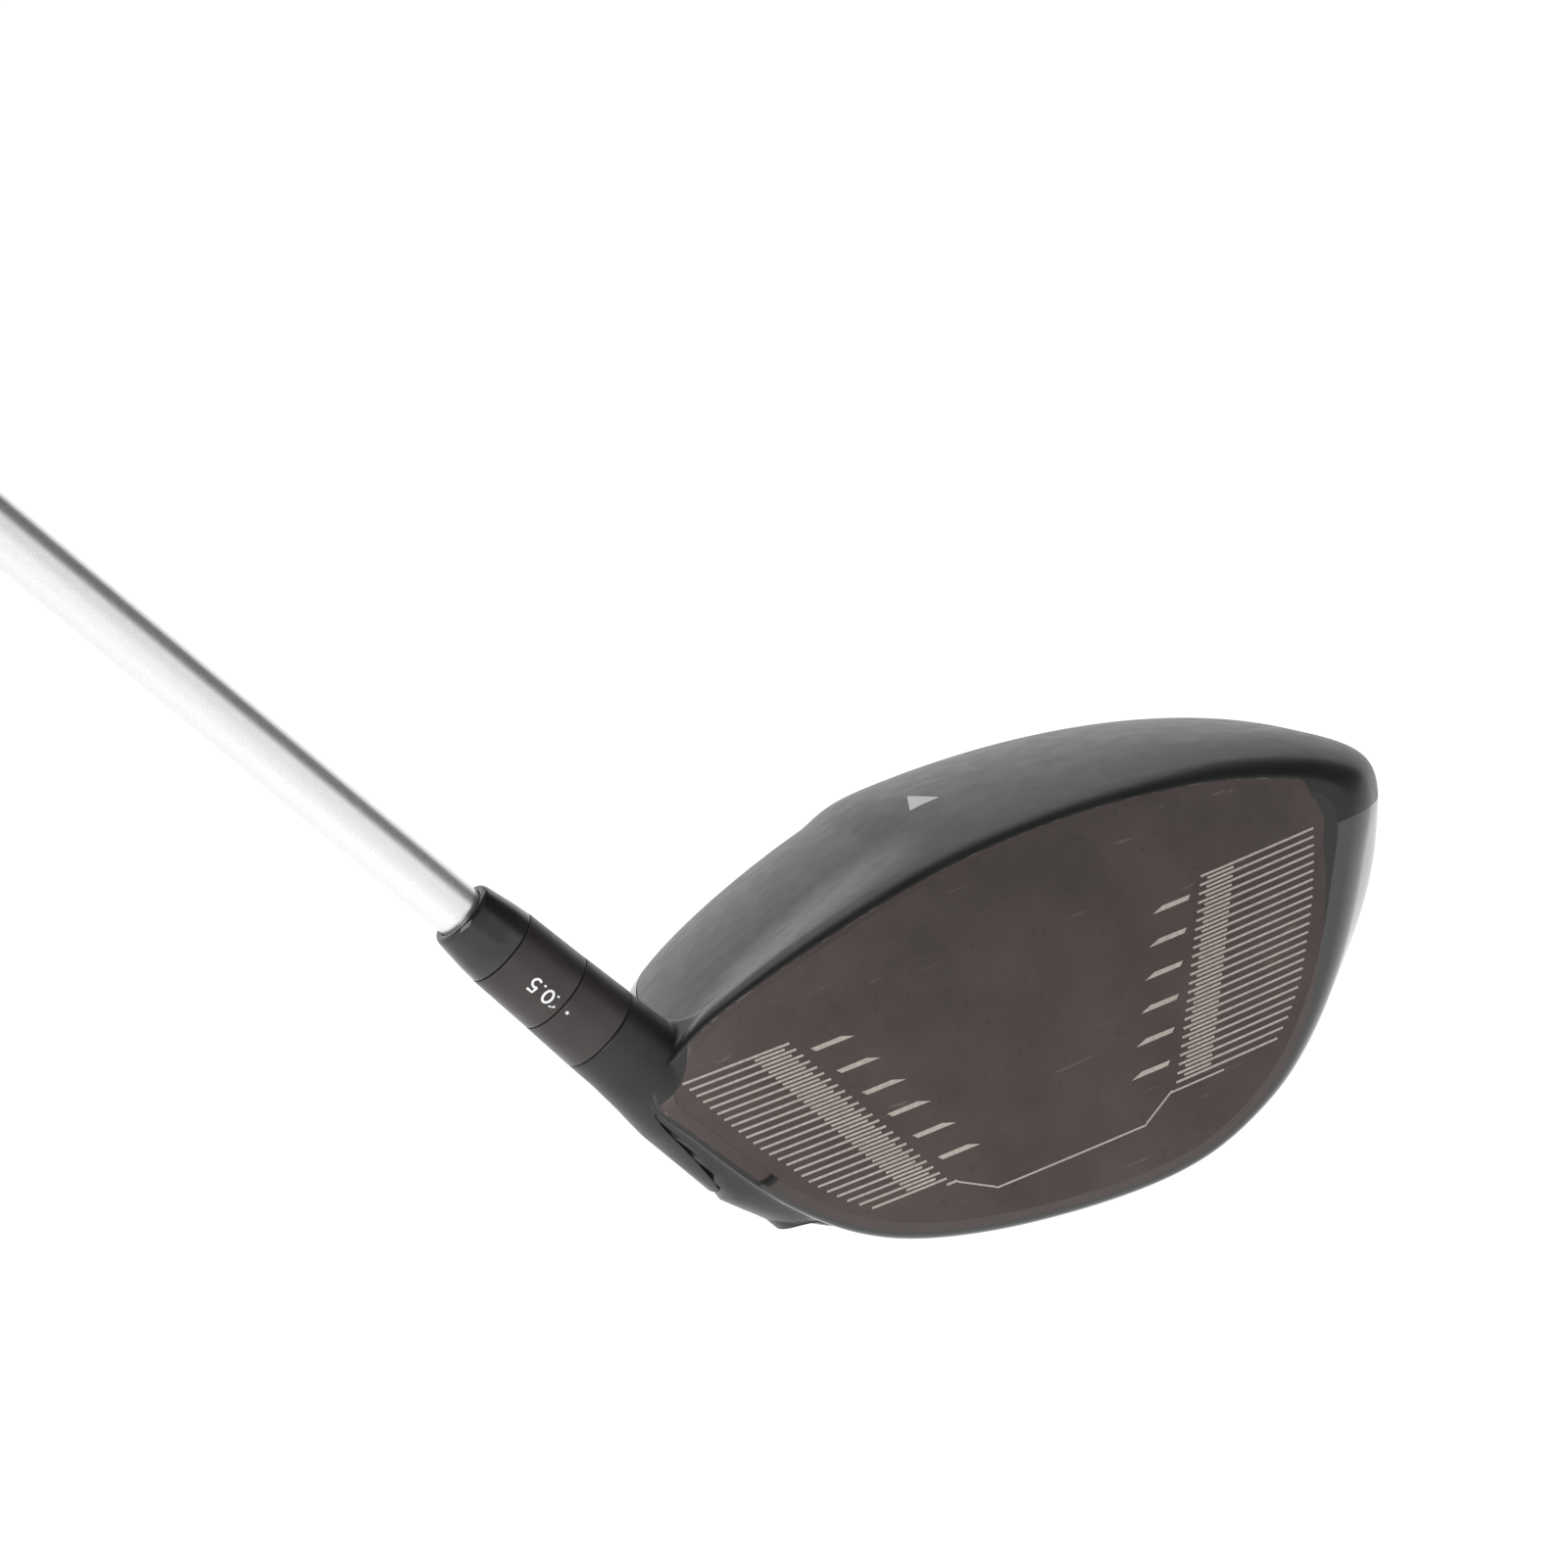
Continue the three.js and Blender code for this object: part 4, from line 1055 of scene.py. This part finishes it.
def sleeve_set():
    """Ring, sleeve and ferrule, with softened edges, so each joint shows as a fine groove."""
    ring = [(5.35, HOSEL_TOP + 0.12), (7.5, HOSEL_TOP + 0.12), (7.14, RING_TOP - 0.05),
            (5.35, RING_TOP - 0.05)]
    fit_on(turned("ring", HOSEL, closed_profile(ring), SLEEVE, soft=0.14),
           "loft_ring", "sleeve_metal", "loft_ring")
    sleeve = [(2.7, SLEEVE_END), (5.0, SLEEVE_END), (5.0, RING_TOP + 0.1), (7.1, RING_TOP + 0.1),
              (6.78, SLEEVE_TOP), (4.6, SLEEVE_TOP), (4.6, SHAFT_TIP), (2.7, SHAFT_TIP)]
    fit_on(turned("sleeve", HOSEL, closed_profile(sleeve), SLEEVE, soft=0.14),
           "shaft_assembly", "sleeve_metal", "loft_sleeve")
    foot = SLEEVE_TOP + 0.12
    collar = [(4.38, foot), (6.74, foot), (6.5, 49), (6.05, 52.4), (5.75, 54.4),
              (5.45, FERRULE_TOP), (4.38, FERRULE_TOP)]
    fit_on(turned("collar", HOSEL, closed_profile(collar), FERRULE, soft=0.22),
           "shaft_assembly", "ferrule_plastic", "ferrule")


def closed_profile(corners):
    """A profile that starts in the middle of its first side, so every corner is an inner one."""
    first, second = np.array(corners[0], float), np.array(corners[1], float)
    middle = (first + second) / 2
    return np.vstack([middle, corners[1:], corners[:1], middle + (first - second) * 1e-3])


def shaft_set():
    """The shaft as one long taper, and the plug glued in its tip."""
    stops = np.linspace(SHAFT_TIP + TIP_LENGTH, BUTT_END, 9)
    outside = [(shaft_radius(at), at) for at in stops]
    shaft = [(3.2, SHAFT_TIP), (SHAFT_TIP_RADIUS, SHAFT_TIP), *outside, (6.3, BUTT_END)]
    fit_on(turned("shaft_tube", HOSEL, closed_profile(shaft), SILVER),
           "shaft_assembly", "shaft_paint", "shaft")
    plug = [(0, SHAFT_TIP + 1), (2.9, SHAFT_TIP + 1), (2.9, SHAFT_TIP + 16), (0, SHAFT_TIP + 16)]
    fit_on(turned("shaft_plug", HOSEL, plug, PLUG), "shaft_assembly", "plug", "tip_plug")


def screw_set():
    """The hosel screw with its six-sided socket, its washer and its retainer."""
    top = SEAT_AT - 3.6
    low = top - 4
    screw = [(0, low + 3), (2.2, low + 3), (2.2, low), (4.2, low), (4.2, top), (2.4, top),
             (2.4, 6), (0, 6)]
    fit_on(turned("sleeve_screw", HOSEL, screw, STEEL, hexagon=[(low - 1, low + 3.1, 2.25)]),
           "hosel_screw", "screw_steel", "hosel_screw")
    washer = [(2.7, top + 0.3), (4.6, top + 0.3), (4.6, top + 1.3), (2.7, top + 1.3)]
    fit_on(turned("seat_washer", HOSEL, closed_profile(washer), ALUMINIUM, soft=0.15),
           "hosel_screw", "tube_metal", "screw_washer")
    under, over = SEAT_AT + 0.3, SEAT_AT + 1.9
    keeper = [(2.7, under), (4.4, under), (4.4, over), (2.7, over)]
    fit_on(turned("screw_keeper", HOSEL, closed_profile(keeper), SEAL, soft=0.3),
           "head", "retainer_rubber", "screw_retainer")


# ---- grip --------------------------------------------------------------------------------------
GRIP_TURNS = 144
GRIP_STATIONS = 620
DIAMONDS_ROUND = 12
DIAMOND_LENGTH = 5.2


def grip_radius(at):
    """Outer radius of the grip: a quick rise at its mouth and a slow taper to the cap."""
    places = [GRIP_MOUTH, GRIP_MOUTH + 2, BUTT_END - 60, BUTT_END]
    return np.interp(at, places, [8.8, 9.4, 12.2, 13.2])


def grip_relief(turn, at):
    """Depth of the moulding: crossed helical grooves in two zones, and rings at their ends."""
    share = (at - GRIP_MOUTH) / (BUTT_END - GRIP_MOUTH)
    wave_a = np.abs(np.sin(DIAMONDS_ROUND / 2 * turn + math.pi * at / (2 * DIAMOND_LENGTH)))
    wave_b = np.abs(np.sin(DIAMONDS_ROUND / 2 * turn - math.pi * at / (2 * DIAMOND_LENGTH)))
    grooves = ease(1 - np.minimum(wave_a, wave_b) / 0.3)
    zone = ease((share - 0.06) / 0.015) * ease((0.42 - share) / 0.015)
    zone = zone + ease((share - 0.50) / 0.015) * ease((0.95 - share) / 0.015)
    rings = ease(1 - np.abs(np.sin(math.pi * (at - GRIP_MOUTH) / 3.0)) / 0.35)
    ring_zone = ease((share - 0.435) / 0.004) * ease((0.487 - share) / 0.004)
    return 0.32 * grooves * zone + 0.28 * rings * ring_zone


def grip_set():
    """The rubber grip with its moulded relief, the tape under it, and the cap at the butt."""
    turn = np.linspace(0, 2 * math.pi, GRIP_TURNS, endpoint=False)[None, :]
    at = np.concatenate([np.linspace(GRIP_MOUTH, GRIP_MOUTH + 2, 5)[:-1],
                         np.linspace(GRIP_MOUTH + 2, BUTT_END, GRIP_STATIONS)])[:, None]
    depth = grip_relief(turn, at)
    outside = around(HOSEL, turn + 0 * at, grip_radius(at) - depth, at + 0 * turn)
    ends = np.array([BUTT_END, GRIP_MOUTH])[:, None]
    inside = around(HOSEL, turn + 0 * ends, shaft_radius(ends) + 1.1 + 0 * turn, ends + 0 * turn)
    points = np.concatenate([outside, inside]).reshape(-1, 3)
    rows = len(at) + 2
    faces = grid_faces(rows + 1, GRIP_TURNS) % (rows * GRIP_TURNS)
    relief = np.concatenate([-depth / 0.32, np.zeros_like(inside[..., 0])]).ravel()
    piece = build("rubber_grip", points, faces, RUBBER, {"relief": relief}, sharp=50)
    face_out(piece)
    fit_on(piece, "shaft_assembly", "grip_rubber", "grip")
    low, high = GRIP_MOUTH + 8, BUTT_END - 1
    tape = [(shaft_radius(low) + 0.3, low), (shaft_radius(low) + 0.8, low),
            (shaft_radius(high) + 0.8, high), (shaft_radius(high) + 0.3, high)]
    fit_on(turned("under_tape", HOSEL, closed_profile(tape), TAPE, soft=0.1),
           "shaft_assembly", "tape", "grip_tape")
    base, top = BUTT_END + 0.3, BUTT_END + 4.3
    cap = [(1.2, base - 9), (6, base - 9), (6, base), (13.3, base), (13.6, base + 1),
           (12.8, top - 0.8),
           (11.2, top), (8.6, top), (8.2, top - 0.35), (7.8, top), (1.2, top)]
    fit_on(turned("butt_cap", HOSEL, closed_profile(cap), CAP_PLASTIC),
           "shaft_assembly", "cap_plastic", "grip_cap")


# ---- rear weight -------------------------------------------------------------------------------
def weight_set():
    """The port set in the sole, the turned weight in it and the screw that holds the weight."""
    wall = CUP_RADIUS + 1.4
    radii = np.array([wall, wall - 0.15, CUP_RADIUS + 0.15, CUP_RADIUS])
    rim = np.array([sole_ring(radius) for radius in radii])
    rim[[0, 3]] -= 0.15 * WEIGHT[1]
    deep = [around(WEIGHT, PATCH_TURN, np.full(240, r), np.full(240, s))
            for r, s in ((CUP_RADIUS, -7.5), (1e-3, -7.5), (1e-3, -9.5), (wall, -9.5))]
    rings = np.array([*rim, *deep])
    points = rings.reshape(-1, 3)
    faces = grid_faces(len(rings) + 1, len(PATCH_TURN)) % len(points)
    port = build("port_ring", points, faces, ALUMINIUM)
    merge_close(port)
    face_out(port)
    fit_on(port, "head", "tube_metal", "weight_port")
    r = CUP_RADIUS - 0.3
    seat = -4.0
    weight = [(1.9, -6.9), (r, -6.9), (r, -1.5), (r - 0.7, -0.8), (7.2, -0.8), (6.9, -1.15), (6.5, -1.15),
              (6.2, -0.8), (3.7, -0.8), (3.7, seat), (1.9, seat)]
    fit_on(turned("tail_weight", WEIGHT, closed_profile(weight), STEEL, soft=0.2),
           "rear_weight", "weight_metal", "rear_weight")
    screw = [(0, -6.9), (1.6, -6.9), (1.6, seat + 0.3), (3.4, seat + 0.3), (3.4, -1.1), (1.8, -1.1), (1.8, -2.9),
             (0, -2.9)]
    fit_on(turned("tail_screw", WEIGHT, screw, DARK_STEEL, soft=0.18, hexagon=[(-3.0, 0, 1.85)]),
           "weight_screw", "weight_screw_steel", "weight_screw")


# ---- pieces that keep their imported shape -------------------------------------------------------
def finish_packed():
    """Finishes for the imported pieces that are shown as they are."""
    for node, finish in (("seam_bond", GLUE), ("hosel_tube", ALUMINIUM)):
        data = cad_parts[node].data
        data.materials.clear()
        data.materials.append(finish)


front_casting()
rear_shells()
face_plate()
fit_on(joined("face_marks", face_bars(), MARKS), "head", "face_metal")
sleeve_number()
crown_mark()
sleeve_set()
shaft_set()
screw_set()
grip_set()
weight_set()
finish_packed()


# ---- studio ------------------------------------------------------------------------------------
FLOOR_DROP = 0.9  # the club is held well above the floor, in metres
FLOOR_SIZE = 30


def studio_floor():
    """A plain pale floor, lit from within like a light table."""
    across = np.linspace(-FLOOR_SIZE, FLOOR_SIZE, 25)
    x, y = np.meshgrid(across, across, indexing="ij")
    z = np.full_like(x, -FLOOR_DROP)
    mesh = bpy.data.meshes.new("floor")
    faces = grid_faces(25, 25, closed=False)[:, ::-1].tolist()
    mesh.from_pydata(np.stack([x, y, z], -1).reshape(-1, 3), [], faces)
    finish = Finish("pale_floor", Roughness=0.9, Emission_Color=(1, 1, 1, 1), Emission_Strength=0.8)
    finish.into("Base Color", finish.mix(finish.noise(60, 2),
                                         (0.93, 0.93, 0.93), (0.96, 0.96, 0.96)))
    mesh.materials.append(finish.material)
    floor = bpy.data.objects.new("floor", mesh)
    bpy.context.scene.collection.objects.link(floor)


def soft_surround():
    """A white surround, dimmer overhead, to the upper front and to the right."""
    world = bpy.data.worlds.new("surround")
    world.use_nodes = True
    tree = world.node_tree
    background = tree.nodes["Background"]
    place = tree.nodes.new("ShaderNodeTexCoord").outputs["Generated"]

    def shade(direction, low, high, darkest):
        """A factor that falls from 1 to the darkest as the direction's share passes low to high."""
        dot = tree.nodes.new("ShaderNodeVectorMath")
        dot.operation = "DOT_PRODUCT"
        dot.inputs[1].default_value = direction
        tree.links.new(place, dot.inputs[0])
        span = tree.nodes.new("ShaderNodeMapRange")
        span.interpolation_type = "SMOOTHSTEP"
        for socket, value in (("From Min", low), ("From Max", high),
                              ("To Min", 1.0), ("To Max", darkest)):
            span.inputs[socket].default_value = value
        tree.links.new(dot.outputs["Value"], span.inputs["Value"])
        return span.outputs["Result"]

    factor = None
    for patch in DIM_PATCHES:
        part = shade(*patch)
        if factor is None:
            factor = part
            continue
        product = tree.nodes.new("ShaderNodeMath")
        product.operation = "MULTIPLY"
        tree.links.new(factor, product.inputs[0])
        tree.links.new(part, product.inputs[1])
        factor = product.outputs["Value"]
    path = tree.nodes.new("ShaderNodeLightPath").outputs["Is Camera Ray"]
    seen = tree.nodes.new("ShaderNodeMix")
    seen.data_type = "FLOAT"
    tree.links.new(path, seen.inputs[0])
    tree.links.new(factor, seen.inputs[2])
    seen.inputs[3].default_value = 1.0
    tree.links.new(seen.outputs[0], background.inputs["Color"])
    background.inputs["Strength"].default_value = 1.1
    bpy.context.scene.world = world


DIM_PATCHES = (  # direction, where the dimming starts and is full, and the light left there
    ((0.0, 0.0, 1.0), 0.16, 0.6, 0.22),
    ((-0.1, -0.75, 0.65), 0.5, 0.95, 0.4),
    ((0.96, 0.0, 0.28), 0.72, 0.98, 0.12),
)


def soft_light(name, place, target, size, power):
    """A large soft rectangle of light at a place, turned towards a target."""
    lamp = bpy.data.lights.new(name, "AREA")
    lamp.shape = "RECTANGLE"
    lamp.size, lamp.size_y = size
    lamp.energy = power
    holder = bpy.data.objects.new(name, lamp)
    bpy.context.scene.collection.objects.link(holder)
    back = np.array(place) - np.array(target)
    holder.matrix_world = looking(np.array(place), back / np.linalg.norm(back), 0.0)


def looking(place, back, roll):
    """The place and turn of something that looks along -back, rolled about that line."""
    right = np.cross([0, 0, 1], back)
    right = right / np.linalg.norm(right)
    up = np.cross(back, right)
    turned_right = math.cos(roll) * right - math.sin(roll) * up
    turned_up = math.sin(roll) * right + math.cos(roll) * up
    made = np.eye(4)
    made[:3, 0], made[:3, 1], made[:3, 2], made[:3, 3] = turned_right, turned_up, back, place
    return Matrix(made.tolist())


def camera():
    """The view down on the face from in front of the heel, with the horizon tilted."""
    azimuth, elevation, roll = (math.radians(a) for a in (-13.71, 14.62, 17.76))
    distance, aside, above = 658.7, -24.89, 48.94  # from the face centre, in millimetres
    back = np.array([math.sin(azimuth) * math.cos(elevation), -math.cos(azimuth) * math.cos(elevation),
                     math.sin(elevation)])
    right = np.array([math.cos(azimuth), math.sin(azimuth), 0])
    place = FACE_CENTRE + aside * right + above * np.cross(back, right) + distance * back
    lens = bpy.data.cameras.new("camera")
    lens.sensor_width = 36
    lens.lens = 36 * 4240.5 / 1600
    lens.clip_start = 0.01
    holder = bpy.data.objects.new("camera", lens)
    bpy.context.scene.collection.objects.link(holder)
    holder.matrix_world = looking(place * MM, back, roll)
    bpy.context.scene.camera = holder


studio_floor()
soft_surround()
soft_light("key", (-0.9, -1.3, 0.5), (0, 0, 0.03), (1.2, 0.9), 12)
soft_light("fill", (0.3, 1.2, 1.6), (0, 0, 0.03), (1.6, 1.2), 8)
camera()
bpy.context.scene.view_settings.view_transform = "Standard"
